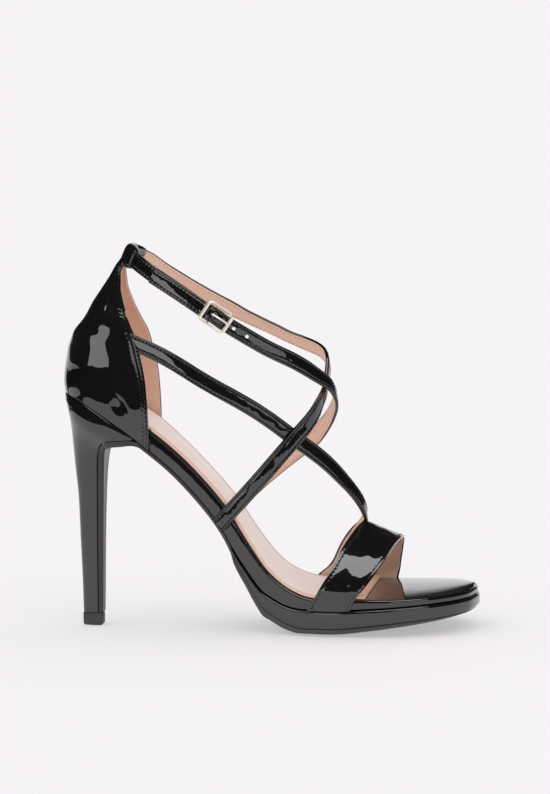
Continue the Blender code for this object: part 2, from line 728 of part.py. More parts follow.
def make_outsole():
    """The outsole: down the heel's breast, along the shank and under the forefoot."""
    outline = Outline(OUTSOLE_INSET)
    rings = []
    turn = distance(OUTSOLE_TURN)
    rows = len(HEEL_ROWS) - 1
    breast = [i / rows for i in (0, 1, 2, 3, 4, 4.5, 5, 5.5, 6, 6.5, 7, 7.6, 8.2)]
    for t in breast:
        near, far = heel_section(max(t - 0.01, 0.0)), heel_section(t + 0.01)
        dx, dz = far[1] - near[1], far[3] - near[3]
        length = math.hypot(dx, dz)
        normal = (dz / length, -dx / length)
        _, front, _, front_up, half = heel_section(t)
        thick = OUTSOLE_THICKNESS * smooth((0.0, 0.3, 0.5, 1.0), (0.57, 0.78, 0.84, 0.76), t)
        inner = (front + normal[0] * GAP, front_up + normal[1] * GAP)
        width = min(half * 0.97, -outline.at(turn)[0])
        flat = layer_ring(0.0, 0.0, -thick, (-width, width), FINE_ROUND, TREAD_EDGE_ROUND)
        rings.append([(inner[0] - normal[0] * z, y, inner[1] - normal[1] * z) for _, y, z in flat])
    marks = stations(turn, PLATFORM_START_X - GAP)
    marks += stations(PLATFORM_START_X + GAP, outline.end, round_end=True)
    for x in marks:
        share = profile("outsole", x)
        lift = TREAD_EDGE_LIFT * share * smooth((0.0, 0.45, 0.55, 1.0), (0.5, 0.6, 1.0, 0.9), x / LENGTH)
        section = (x, outsole_top(x), tread(x), outline.at(x), FINE_ROUND, TREAD_EDGE_ROUND, lift)
        rings.append(layer_ring(*section))
    return add_object("outsole", loft(rings), "tread_rubber")


# The last's surface above the sole

def last_at(up, name):
    rows_up = column(LAST_ROWS, LAST_COLUMNS, "up")
    return smooth(rows_up, column(LAST_ROWS, LAST_COLUMNS, name), up)


def last_level(point):
    """Below 1 inside the last and above 1 outside it."""
    x, y, z = point
    up = z / ANKLE_HEIGHT
    front, back = distance(last_at(up, "front")), distance(last_at(up, "back"))
    centre, reach = (front + back) / 2.0, (front - back) / 2.0
    half = last_at(up, "half") * ANKLE_WIDTH
    return abs((x - centre) / reach) ** LAST_SQUARENESS + abs(y / half) ** LAST_SQUARENESS


def outwards(point):
    """Unit direction straight out of the last at a point near its surface."""
    reach = LENGTH / 100.0
    gradient = []
    for axis in range(3):
        ahead, behind = np.array(point, float), np.array(point, float)
        ahead[axis] += reach
        behind[axis] -= reach
        gradient.append(last_level(ahead) - last_level(behind))
    return np.array(gradient) / np.linalg.norm(gradient)


# Straps

class Route:
    """A strap's centre line and lean, as a smooth curve through its table's rows."""

    def __init__(self, rows, side):
        self.rows = np.array([self.place(row, side) for row in rows])
        self.row_lengths = arc_lengths(self.rows)
        self.row_leans = np.array([row[3] for row in rows], float)

    @staticmethod
    def place(row, side):
        x, z = distance(row[0]), row[2] * ANKLE_HEIGHT
        if row[1] is None:
            return x, FULL.side(x, side) + side * (SIDE_CLEARANCE + STRAP_THICKNESS / 2.0), z
        return x, row[1] * ANKLE_WIDTH, z

    def extended(self, points, leans):
        """The same route carried on through more points."""
        other = Route.__new__(Route)
        other.rows = np.concatenate([self.rows, points])
        other.row_lengths = arc_lengths(other.rows)
        other.row_leans = np.concatenate([self.row_leans, leans])
        return other

    def leans(self, points):
        """The lean in degrees at each of the points along the route."""
        marks = arc_lengths(points)
        marks = marks / marks[-1] * self.row_lengths[-1]
        return np.interp(marks, self.row_lengths, self.row_leans)

    def points(self):
        return spline(self.rows, STRAP_STEP)

    def frames(self, lift=None):
        """Point, tangent, outward normal and width direction along the strap."""
        points = self.points()
        if lift is not None:
            points = lift(points)
        tangents = np.gradient(points, axis=0)
        leans = np.radians(self.leans(points))
        return [strap_frame(*item) for item in zip(points, tangents, leans)]


def strap_frame(point, tangent, lean=0.0):
    tangent = tangent / np.linalg.norm(tangent)
    normal = outwards(point)
    normal = normal - tangent * normal.dot(tangent)
    normal /= np.linalg.norm(normal)
    wide = np.cross(tangent, normal)
    turn = lean if wide[2] > 0.0 else -lean
    leaned = normal * math.cos(turn) + wide * math.sin(turn)
    return point, tangent, leaned, np.cross(tangent, leaned)


def strap_solid(frames):
    """A flat strap through its frames."""
    rings = []
    half, thick = STRAP_WIDTH / 2.0, STRAP_THICKNESS / 2.0
    for point, _, normal, wide in frames:
        rings.append([tuple(point + wide * a * half + normal * b * thick)
                      for a, b in ((-1, -1), (1, -1), (1, 1), (-1, 1))])
    return loft(rings)


def bulge(distance, reach):
    """A smooth hump, 1 in the middle and 0 past its reach."""
    return 0.5 * (1.0 + math.cos(math.pi * min(abs(distance) / reach, 1.0)))


def arc_lengths(points):
    steps = np.linalg.norm(np.diff(np.asarray(points), axis=0), axis=1)
    return np.concatenate([[0.0], np.cumsum(steps)])


BILLET = Route(BILLET_ROUTE, MEDIAL)
CARRIER = Route(CARRIER_ROUTE, LATERAL)
INSTEP = Route(INSTEP_ROUTE, LATERAL)


def nearest(points, target):
    return int(np.argmin(np.linalg.norm(np.asarray(points) - np.asarray(target), axis=1)))


BILLET_OVER_CARRIER = STRAP_THICKNESS - STRAP_LAP
BAR_OVER_CARRIER = STRAP_THICKNESS / 2.0 + GAP + CENTRE_BAR_RADIUS
BILLET_OVER_BAR = BAR_OVER_CARRIER + CENTRE_BAR_RADIUS + GAP + STRAP_THICKNESS / 2.0
HUMP_HEIGHT = BILLET_OVER_BAR - BILLET_OVER_CARRIER


class BuckleSeat:
    """Where the buckle sits on the billet: its frame and its distances out of the carrier."""

    def __init__(self):
        frames = BILLET.frames()
        self.index = nearest([frame[0] for frame in frames], BILLET.rows[BUCKLE_ROW])
        self.point, self.tangent, self.normal, self.wide = frames[self.index]
        self.carrier = self.point - self.normal * BILLET_OVER_CARRIER

    def place(self, along, across, out):
        """A point at these distances from the carrier's centre under the centre bar."""
        return self.carrier + self.tangent * along + self.wide * across + self.normal * out

    def lift(self, points):
        """The billet's points, closer together and raised where it passes over the centre bar."""
        raised = []
        for i, point in enumerate(points):
            raised.append(self.raise_point(point))
            if i + 1 < len(points):
                middle = (point + points[i + 1]) / 2.0
                if np.linalg.norm(middle - self.point) < BILLET_HUMP + STRAP_STEP:
                    raised.append(self.raise_point(middle))
        return np.array(raised)

    def raise_point(self, point):
        away = np.linalg.norm(point - self.point)
        return point + self.normal * HUMP_HEIGHT * bulge(away, BILLET_HUMP)


def make_billet(seat):
    """The front strap: up from the medial side, round the ankle and through the buckle."""
    billet = add_object("billet", strap_solid(BILLET.frames(seat.lift)), "patent_leather")
    combine(billet, make_hole_cutter(seat), "DIFFERENCE")
    return billet


def carrier_route(seat):
    """The carrier's route: round the ankle, through the back loop and under the billet's end."""
    frames = BILLET.frames()
    billet_leans = BILLET.leans(BILLET.points())
    shared, leans = [], []
    for i in range(len(frames) - 1, seat.index, -2):
        point = frames[i][0] - frames[i][2] * BILLET_OVER_CARRIER + frames[i][3] * STRAP_SLIP
        if np.linalg.norm(point - seat.carrier) > 0.8 * STRAP_STEP:
            shared.append(point)
            leans.append(billet_leans[i])
    shared.append(seat.carrier - seat.tangent * CENTRE_BAR_RADIUS + seat.wide * STRAP_SLIP)
    leans.append(billet_leans[seat.index])
    return CARRIER.extended(np.array(shared), np.array(leans))


def make_carrier(seat):
    return add_object("carrier", strap_solid(carrier_route(seat).frames()), "patent_leather")


def make_instep_strap():
    return add_object("instep_strap", strap_solid(INSTEP.frames()), "patent_leather")


def make_back_loop(seat):
    """The tab folded over the ankle strap at the back, a rounded block round the strap."""
    frames = carrier_route(seat).frames()
    points = [frame[0] for frame in frames]
    middle = nearest(points, CARRIER.rows[LOOP_ROW])
    lengths = arc_lengths(points)
    wide = STRAP_WIDTH / 2.0 + LOOP_CASING
    deep = STRAP_THICKNESS / 2.0 + 1.3 * LOOP_CASING
    rings = []
    for i, (point, _, normal, across) in enumerate(frames):
        if abs(lengths[i] - lengths[middle]) > LOOP_LENGTH / 2.0:
            continue
        ring = []
        for k in range(16):
            angle = 2.0 * math.pi * k / 16
            a = math.copysign(abs(math.cos(angle)) ** 0.6, math.cos(angle)) * wide
            b = math.copysign(abs(math.sin(angle)) ** 0.6, math.sin(angle)) * deep
            ring.append(tuple(point + across * a + normal * b))
        rings.append(ring)
    return add_object("back_loop", loft(rings), "patent_leather")


# Counter and vamp band

def counter_shape():
    """The seat's rounded outline as shares: distance from the back, and half width, signed."""
    marks = SEAT_LENGTH * (1.0 - np.cos(np.linspace(0.0, math.pi / 2, COUNTER_COLUMNS // 2 + 1)))
    medial = [(x / SEAT_LENGTH, FULL.at(x)[1] / (SEAT_WIDTH / 2.0)) for x in marks]
    medial[0] = (0.0, 0.0)
    lateral = [(x, -y) for x, y in medial[1:]]
    return lateral[::-1] + medial


def counter_grid(inner):
    shape = counter_shape()
    marks = np.linspace(0.0, 1.0, COUNTER_RINGS)
    rows_t = np.linspace(0.0, 1.0, len(COUNTER_ROWS))
    value = {name: column(COUNTER_ROWS, COUNTER_COLUMNS_NAMES, name) for name in COUNTER_COLUMNS_NAMES}
    seat_low = board_low(0.0)
    edge_low = board_low(SEAT_LENGTH)
    grid = []
    for t in marks:
        back, edge, back_up, edge_up, half = (smooth(rows_t, value[name], t) for name in COUNTER_COLUMNS_NAMES)
        near, far = max(t - 0.3 / COUNTER_RINGS, 0.0), min(t + 0.3 / COUNTER_RINGS, 1.0)
        run = (smooth(rows_t, value["back"], far) - smooth(rows_t, value["back"], near)) * SEAT_LENGTH
        rise = (smooth(rows_t, value["back_up"], far) - smooth(rows_t, value["back_up"], near)) * COUNTER_HEIGHT
        slant = math.hypot(run, rise) / rise
        back_x, edge_x = back * SEAT_LENGTH, edge * SEAT_LENGTH
        half_width = half * SEAT_WIDTH / 2.0
        if inner:
            back_x += WALL * slant
            half_width -= WALL
        row = []
        for along, across in shape:
            x = back_x + (edge_x - back_x) * along
            seat_x = SEAT_LENGTH * along
            fall = (board_low(seat_x) - seat_low) / (edge_low - seat_low)
            back_z = seat_low + back_up * COUNTER_HEIGHT
            edge_z = edge_low + edge_up * COUNTER_HEIGHT
            row.append((x, across * half_width, back_z + (edge_z - back_z) * fall))
        grid.append(row)
    return grid


def make_counter():
    """The heel counter: a wall round the back of the foot, open in front, above and below."""
    return add_object("counter", sheet_solid(counter_grid(False), counter_grid(True)), "patent_leather")


def band_point(row, share):
    """A point of the band's middle surface, with share 0 at its back edge and 1 at its front."""
    back, back_across, back_up, front, front_across, front_up = row
    x = distance(back + (front - back) * share)
    z = board_top(x) + (back_up + (front_up - back_up) * share) * BAND_HEIGHT
    if back_across is None:
        return x, None, z
    return x, (back_across + (front_across - back_across) * share) * BALL_WIDTH, z


def band_surface():
    """Rows of points across the band, from its lateral end to its medial end."""
    lines = []
    for share in np.linspace(0.0, 1.0, 5):
        line = []
        for i, row in enumerate(BAND_ROWS):
            x, y, z = band_point(row, share)
            if y is None:
                side = LATERAL if i < len(BAND_ROWS) / 2 else MEDIAL
                y = FULL.side(x, side) + side * (GAP + BAND_THICKNESS / 2.0)
                if back_is_end(i):
                    z = board_low(x)
            line.append((x, y, z))
        lines.append(spline(line, STRAP_STEP))
    count = min(len(line) for line in lines)
    return [resample(line, count) for line in lines]


def back_is_end(i):
    return i in (0, len(BAND_ROWS) - 1)


def resample(line, count):
    """The same line with this many points, evenly apart."""
    lengths = arc_lengths(line)
    marks = np.linspace(0.0, lengths[-1], count)
    return np.stack([np.interp(marks, lengths, line[:, axis]) for axis in range(3)], axis=1)


def make_band():
    lines = np.array(band_surface())
    along = np.gradient(lines, axis=0)
    over = np.gradient(lines, axis=1)
    normal = np.cross(along, over)
    normal /= np.linalg.norm(normal, axis=2)[:, :, None]
    if normal[2, lines.shape[1] // 2, 2] < 0.0:
        normal = -normal
    half = BAND_THICKNESS / 2.0
    outer = [[tuple(p) for p in line] for line in lines + normal * half]
    inner = [[tuple(p) for p in line] for line in lines - normal * half]
    return add_object("vamp_band", sheet_solid(outer, inner), "patent_leather")


def make_upper(seat):
    """Counter, back loop, straps and vamp band joined into one body where they cross."""
    upper = make_carrier(seat)
    upper.name = "upper"
    for piece in (make_billet(seat), make_instep_strap(), make_band(), make_counter(), make_back_loop(seat)):
        combine(upper, piece, "UNION")
    tidy(upper, "patent_leather")
    return upper


def make_hole_cutter(seat):
    """The hole in the billet over the centre bar."""
    rings = []
    for out in (BAR_OVER_CARRIER + CENTRE_BAR_RADIUS, BILLET_OVER_BAR + 2.0 * STRAP_THICKNESS):
        rings.append([tuple(seat.place(HOLE_RADIUS * math.cos(angle), HOLE_RADIUS * math.sin(angle), out))
                      for angle in np.linspace(0.0, 2.0 * math.pi, 12, endpoint=False)])
    cutter = add_object("hole_cutter", loft(rings), "patent_leather")
    cutter.hide_render = True
    cutter.display_type = "WIRE"
    return cutter


# Buckle

def tube(points, radius, sides, seat, level):
    """A closed round bar through points in the buckle's own distances, in a plane square to level."""
    points = np.array([seat.place(*p) for p in points])
    tangents = np.gradient(points, axis=0)
    rings = []
    for point, tangent in zip(points, tangents):
        tangent = tangent / np.linalg.norm(tangent)
        first = level / np.linalg.norm(level)
        second = np.cross(tangent, first)
        rings.append([tuple(point + (first * math.cos(a) + second * math.sin(a)) * radius)
                      for a in np.linspace(0.0, 2.0 * math.pi, sides, endpoint=False)])
    return loft(rings)


def make_buckle_frame(seat):
    """A rounded rectangular frame over the billet, with its centre bar under it."""
    inner_half = STRAP_WIDTH / 2.0 + BUCKLE_ROOM
    rail = inner_half + BUCKLE_BAR / 2.0
    end = BUCKLE_LENGTH / 2.0 - BUCKLE_BAR / 2.0
    out = BILLET_OVER_CARRIER + STRAP_THICKNESS / 2.0 + BUCKLE_RISE + GAP + BUCKLE_BAR / 2.0
    path = []
    for cx, cy, start in ((1, 1, 0), (-1, 1, 90), (-1, -1, 180), (1, -1, 270)):
        for k in range(4):
            angle = math.radians(start + 30 * k)
            path.append((cx * (end - BUCKLE_CORNER) + BUCKLE_CORNER * math.cos(angle) - BUCKLE_AHEAD,
                         cy * (rail - BUCKLE_CORNER) + BUCKLE_CORNER * math.sin(angle)))
    bm = bmesh.new()
    count = len(path)
    rings = []
    for i in range(count):
        before, here, after = (np.array(path[(i + k) % count]) for k in (-1, 0, 1))
        tangent = (after - before) / np.linalg.norm(after - before)
        side = np.array([tangent[1], -tangent[0]])
        ring = []
        for angle in np.linspace(math.pi / 8, 2.0 * math.pi + math.pi / 8, 8, endpoint=False):
            spread = here + side * math.cos(angle) * BUCKLE_BAR / 2.0
            ring.append(bm.verts.new(seat.place(spread[0], spread[1], out + math.sin(angle) * BUCKLE_BAR / 2.0)))
        rings.append(ring)
    for i in range(count):
        near, far = rings[i], rings[(i + 1) % count]
        for k in range(8):
            bm.faces.new((near[k], near[(k + 1) % 8], far[(k + 1) % 8], far[k]))
    frame = add_object("buckle_frame", bm, "buckle_metal")
    turn = 2.0 * CENTRE_BAR_RADIUS
    half = [(rail, out), (rail, BAR_OVER_CARRIER + turn), (rail - 0.3 * turn, BAR_OVER_CARRIER + 0.3 * turn),
            (rail - turn, BAR_OVER_CARRIER)]
    bar = [(0.0, -y, z) for y, z in half] + [(0.0, y, z) for y, z in half[::-1]]
    piece = add_object("centre_bar", tube(bar, CENTRE_BAR_RADIUS, 8, seat, seat.tangent), "buckle_metal")
    combine(frame, piece, "UNION")
    tidy(frame, "buckle_metal")
    return frame


def make_buckle_pin(seat):
    """The pin: up through the billet's hole and forward onto the frame's end bar."""
    end = BUCKLE_LENGTH / 2.0 - BUCKLE_BAR / 2.0 + BUCKLE_AHEAD
    frame_out = BILLET_OVER_CARRIER + STRAP_THICKNESS / 2.0 + BUCKLE_RISE + GAP + BUCKLE_BAR
    over = BILLET_OVER_BAR + STRAP_THICKNESS / 2.0 + GAP + PIN_RADIUS
    start = BAR_OVER_CARRIER + CENTRE_BAR_RADIUS + GAP + PIN_RADIUS * 0.2
    rest = frame_out + GAP + PIN_RADIUS
    path = [(0.0, 0.0, start), (0.0, 0.0, over - 2.0 * PIN_RADIUS), (-0.8 * PIN_RADIUS, 0.0, over - 0.4 * PIN_RADIUS),
            (-3.2 * PIN_RADIUS, 0.0, over + 0.4 * PIN_RADIUS), (-0.5 * end, 0.0, max(over, rest)),
            (-end - PIN_OVERHANG, 0.0, rest)]
    return add_object("buckle_pin", tube(path, PIN_RADIUS, 8, seat, seat.wide), "buckle_metal")


def centre_on_origin():
    """Moves the whole shoe so that the middle of its outline is over the origin."""
    corners = np.array([v.co for obj in bpy.context.scene.objects for v in obj.data.vertices])
    middle = (corners.min(axis=0) + corners.max(axis=0)) / 2.0
    shift = Vector((-middle[0], -middle[1], 0.0))
    for obj in bpy.context.scene.objects:
        for vertex in obj.data.vertices:
            vertex.co += shift


def main():
    for obj in list(bpy.data.objects):
        bpy.data.objects.remove(obj)
    seat = BuckleSeat()
    make_outsole()
    make_platform()
    make_board()
    make_sock()
    make_heel()
    make_heel_tip()
    make_upper(seat)
    make_buckle_frame(seat)
    make_buckle_pin(seat)
    centre_on_origin()


main()
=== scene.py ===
"""Strappy stiletto sandal in black patent leather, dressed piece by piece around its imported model.

Everything is in metres: +X points to the toe, +Y to the medial side and +Z up. The pieces are
worked out from the heel back and the shoe's centre line, as a last maker measures them, and are
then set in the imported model's frame. One right shoe is shown, standing empty on its sole.
"""
from __future__ import annotations

import logging
import math
from dataclasses import dataclass
from enum import Enum
from typing import Callable, Iterator, Sequence

import bmesh
import bpy
import numpy as np
from bmesh.types import BMesh
from bpy.types import Node, NodeSocket, NodeTree, Object
from mathutils import Matrix, Vector

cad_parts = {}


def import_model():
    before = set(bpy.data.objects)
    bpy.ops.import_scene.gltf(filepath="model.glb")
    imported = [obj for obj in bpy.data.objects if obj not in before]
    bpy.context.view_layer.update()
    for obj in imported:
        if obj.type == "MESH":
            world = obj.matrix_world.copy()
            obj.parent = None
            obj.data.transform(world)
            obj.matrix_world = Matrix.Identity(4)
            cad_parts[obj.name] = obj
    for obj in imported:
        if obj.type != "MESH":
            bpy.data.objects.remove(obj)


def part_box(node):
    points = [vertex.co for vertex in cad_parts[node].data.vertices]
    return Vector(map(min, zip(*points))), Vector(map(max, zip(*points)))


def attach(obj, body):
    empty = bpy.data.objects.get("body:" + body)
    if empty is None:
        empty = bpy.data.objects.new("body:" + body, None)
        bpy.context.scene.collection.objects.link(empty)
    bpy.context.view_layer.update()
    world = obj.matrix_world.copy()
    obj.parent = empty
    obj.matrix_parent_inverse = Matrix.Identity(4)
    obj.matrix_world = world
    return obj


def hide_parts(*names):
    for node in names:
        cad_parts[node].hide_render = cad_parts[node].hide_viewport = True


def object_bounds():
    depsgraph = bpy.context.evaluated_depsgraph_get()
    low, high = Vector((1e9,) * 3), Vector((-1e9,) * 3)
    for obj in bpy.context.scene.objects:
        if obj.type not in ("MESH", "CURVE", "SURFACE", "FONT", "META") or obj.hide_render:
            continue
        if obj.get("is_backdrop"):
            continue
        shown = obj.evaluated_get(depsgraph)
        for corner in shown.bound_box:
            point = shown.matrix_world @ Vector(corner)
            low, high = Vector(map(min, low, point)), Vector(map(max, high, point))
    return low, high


LOG = logging.getLogger("sandal")
Array = np.ndarray
MM = 0.001
BODY = "root"
# The upper's wall, its lining, the cement between them, and from how many radians a rim is sharp
UPPER_WALL = 0.0020
UPPER_LINING = 0.0007
CEMENT = 0.0001
RIM_ANGLE = 1.0


class Side(Enum):
    """The two sides of the foot, with the sign that each has across the shoe."""

    LATERAL = -1
    MEDIAL = 1


@dataclass(frozen=True)
class Table:
    """A short table with named columns, a row for each section."""

    names: tuple[str, ...]
    rows: tuple[tuple, ...]

    def column(self, name: str) -> Array:
        """Return the values of one named column."""
        return np.array([row[self.names.index(name)] for row in self.rows], float)

    def curve(self, key: str, name: str) -> Curve:
        """Return one column as a smooth curve over another."""
        return Curve(self.column(key), self.column(name))

    def steps(self, name: str) -> Curve:
        """Return one column as a smooth curve over the table's own length, from 0 to 1."""
        return Curve(np.linspace(0.0, 1.0, len(self.rows)), self.column(name))


class Curve:
    """A smooth curve through its rows that doesn't overshoot between them."""

    def __init__(self, x: Array, y: Array) -> None:
        """Work out the slope at each row.

        Args:
            x: Rising positions of the rows.
            y: Value at each row.
        """
        self.x, self.y = np.asarray(x, float), np.asarray(y, float)
        steps = np.diff(self.y) / np.diff(self.x)
        self.slope = np.zeros_like(self.y)
        for i in range(1, len(self.y) - 1):
            if steps[i - 1] * steps[i] > 0.0:
                both = self.x[i + 1] - self.x[i - 1]
                first = (self.x[i + 1] - self.x[i] + both) / steps[i - 1]
                second = (self.x[i] - self.x[i - 1] + both) / steps[i]
                self.slope[i] = 3.0 * both / (first + second)
        self.slope[0], self.slope[-1] = steps[0], steps[-1]

    def __call__(self, at: Array | float) -> Array:
        """Read the curve.

        Args:
            at: One or many positions, held within the rows.

        Returns:
            The value at each.
        """
        at = np.clip(np.asarray(at, float), self.x[0], self.x[-1])
        i = np.clip(np.searchsorted(self.x, at) - 1, 0, len(self.x) - 2)
        width = self.x[i + 1] - self.x[i]
        t = (at - self.x[i]) / width
        return ((1 + 2 * t) * (1 - t) ** 2 * self.y[i] + t * (1 - t) ** 2 * width * self.slope[i]
                + t * t * (3 - 2 * t) * self.y[i + 1] + t * t * (t - 1) * width * self.slope[i + 1])


def arc_lengths(points: Array) -> Array:
    """Return the distance along a line of points to each of them."""
    steps = np.linalg.norm(np.diff(points, axis=0), axis=1)
    return np.concatenate([[0.0], np.cumsum(steps)])


def spline(points: Array, step: float) -> Array:
    """Return a smooth line through the points.

    Args:
        points: The points that the line passes through.
        step: About how far apart the returned points are.

    Returns:
        Points evenly apart along the line.
    """
    knots = arc_lengths(points)
    lengths = np.diff(knots)
    count = len(points)
    system, right = np.eye(count), np.zeros_like(points)
    for i in range(1, count - 1):
        before, after = lengths[i - 1], lengths[i]
        system[i, i - 1:i + 2] = before, 2.0 * (before + after), after
        right[i] = 6.0 * ((points[i + 1] - points[i]) / after - (points[i] - points[i - 1]) / before)
    bends = np.linalg.solve(system, right)
    s = np.linspace(0.0, knots[-1], max(2, round(knots[-1] / step) + 1))
    i = np.clip(np.searchsorted(knots, s) - 1, 0, count - 2)
    h = lengths[i]
    a, b = (knots[i + 1] - s) / h, (s - knots[i]) / h
    bend = (a ** 3 - a)[:, None] * bends[i] + (b ** 3 - b)[:, None] * bends[i + 1]
    return a[:, None] * points[i] + b[:, None] * points[i + 1] + bend * (h * h / 6.0)[:, None]


def resample(line: Array, count: int) -> Array:
    """Return the same line with this many points, evenly apart."""
    lengths = arc_lengths(line)
    marks = np.linspace(0.0, lengths[-1], count)
    return np.stack([np.interp(marks, lengths, line[:, axis]) for axis in range(3)], axis=1)


def soften(values: Array, reach: int) -> Array:
    """Average each value along a line with its neighbours.

    Args:
        values: A value or a vector for each point of the line.
        reach: How many neighbours count on either side.

    Returns:
        The softened values.
    """
    kernel = np.hanning(2 * reach + 3)[1:-1]
    kernel /= kernel.sum()
    padded = np.concatenate([np.repeat(values[:1], reach, 0), values, np.repeat(values[-1:], reach, 0)])
    if values.ndim == 1:
        return np.convolve(padded, kernel, "valid")
    return np.stack([np.convolve(padded[:, axis], kernel, "valid") for axis in range(values.shape[1])], 1)


def unit(vectors: Array) -> Array:
    """Return the vectors at length one."""
    return vectors / np.maximum(np.linalg.norm(vectors, axis=-1, keepdims=True), 1e-12)


def ripple(points: Array, depth: float, wave: float) -> Array:
    """Return a soft unevenness for each point, as leather has after it is drawn over a form.

    Args:
        points: Where the leather lies.
        depth: The most that it rises or falls.
        wave: About how far apart its soft ridges are.

    Returns:
        How far each point rises.
    """
    p = points * (2.0 * math.pi / wave)
    rise = np.sin(0.9 * p[..., 0] + 1.7 * np.sin(0.37 * p[..., 2] + 0.6)) * np.cos(0.8 * p[..., 2] + 1.1)
    rise = rise + 0.6 * np.sin(0.7 * p[..., 1] + 1.3 * p[..., 2] + 0.9 * np.sin(0.5 * p[..., 0]))
    return depth * rise / 1.6


def calm(distance: Array, start: float, fade: float) -> Array:
    """Return 0 as far as the start, and 1 where the fade beyond it is over."""
    return np.clip((distance - start) / fade, 0.0, 1.0)


def dents(points: Array, broad: tuple[float, float], fine: tuple[float, float]) -> Array:
    """Return broad and fine unevenness together, each given by its depth and wave in metres."""
    return ripple(points, *broad) + ripple(points[..., ::-1], *fine)


# Meshes from grids of points

def lay_grid(points: Array, closed: bool = False, looped: bool = False, capped: bool = True) -> BMesh:
    """Lay a grid over rows of points.

    Args:
        points: An array of rows by columns by three.
        closed: Whether each row joins up with its own start.
        looped: Whether the last row joins up with the first.
        capped: Whether the ends of closed rows are filled.

    Returns:
        The mesh, its doubled points merged and its faces facing out.
    """
    if closed:
        points = np.concatenate([points, points[:, :1]], axis=1)
    if looped:
        points = np.concatenate([points, points[:1]], axis=0)
    rows, columns = points.shape[:2]
    bm = bmesh.new()
    bmesh.ops.create_grid(bm, x_segments=columns - 1, y_segments=rows - 1, size=1.0)
    for vertex, point in zip(bm.verts, points.reshape(-1, 3)):
        vertex.co = point
    bmesh.ops.remove_doubles(bm, verts=bm.verts, dist=1e-6)
    if closed and capped and not looped:
        bmesh.ops.holes_fill(bm, edges=[edge for edge in bm.edges if edge.is_boundary], sides=0)
    bmesh.ops.recalc_face_normals(bm, faces=bm.faces)
    return bm


def give_wall(bm: BMesh, outwards: Callable[[Vector], Vector], thickness: float, edge_round: float,
              segments: int) -> None:
    """Turn a sheet to look out of the shoe, give it its thickness on its inner side, and round its rim.

    Args:
        bm: The open sheet.
        outwards: The direction out of the shoe at a point.
        thickness: How thick it is.
        edge_round: The radius of its rim's corners.
        segments: How many faces round each corner.
    """
    if sum(face.normal.dot(outwards(face.calc_center_median())) for face in bm.faces) < 0.0:
        bmesh.ops.reverse_faces(bm, faces=bm.faces)
    bmesh.ops.solidify(bm, geom=list(bm.faces), thickness=thickness)
    bmesh.ops.recalc_face_normals(bm, faces=bm.faces)
    sharp = [edge for edge in bm.edges if len(edge.link_faces) == 2 and edge.calc_face_angle() > RIM_ANGLE]
    bmesh.ops.bevel(bm, geom=sharp, offset=edge_round, offset_type="OFFSET", segments=segments, profile=0.5,
                    affect="EDGES", material=-1, clamp_overlap=True)


def mesh_object(name: str, bm: BMesh) -> Object:
    """Put a mesh in the scene.

    Args:
        name: What the object and its mesh are called.
        bm: The mesh, which is used up.

    Returns:
        The new object.
    """
    mesh = bpy.data.meshes.new(name)
    bm.to_mesh(mesh)
    bm.free()
    obj = bpy.data.objects.new(name, mesh)
    bpy.context.scene.collection.objects.link(obj)
    return obj


def punch(bm: BMesh, drills: BMesh) -> BMesh:
    """Punch holes through a closed mesh.

    Args:
        bm: The mesh to punch, which is used up.
        drills: Closed pins where the holes go, used up too.

    Returns:
        The mesh with its holes.
    """
    blank, tool = mesh_object("blank", bm), mesh_object("drills", drills)
    cut = blank.modifiers.new("holes", "BOOLEAN")
    cut.operation, cut.solver, cut.object = "DIFFERENCE", "EXACT", tool
    punched = bpy.data.meshes.new_from_object(blank.evaluated_get(bpy.context.evaluated_depsgraph_get()))
    result = bmesh.new()
    result.from_mesh(punched)
    meshes = (punched, blank.data, tool.data)
    for obj in (blank, tool):
        bpy.data.objects.remove(obj)
    for mesh in meshes:
        bpy.data.meshes.remove(mesh)
    return result


@dataclass
class Piece:
    """A mesh on its way to being a finished piece of the shoe."""

    name: str
    bm: BMesh
    finish: Finish
    slot: str | None = None
    replaces: tuple[str, ...] = ()
    sharp_deg: float = 50.0

    def place(self, shift: Vector) -> Object:
        """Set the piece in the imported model's frame.

        Args:
            shift: From the heel back on the centre line to the frame's own origin.

        Returns:
            The new object, which rides with the shoe.
        """
        bmesh.ops.translate(self.bm, verts=self.bm.verts, vec=shift)
        obj = mesh_object(self.name, self.bm)
        mesh = obj.data
        mesh.shade_smooth()
        mesh.set_sharp_from_angle(angle=math.radians(self.sharp_deg))
        mesh.materials.append(self.finish.material())
        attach(obj, BODY)
        if self.replaces:
            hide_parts(*self.replaces)
        LOG.info("%s: %d faces", self.name, len(mesh.polygons))
        return obj


# The last and the sole's outline

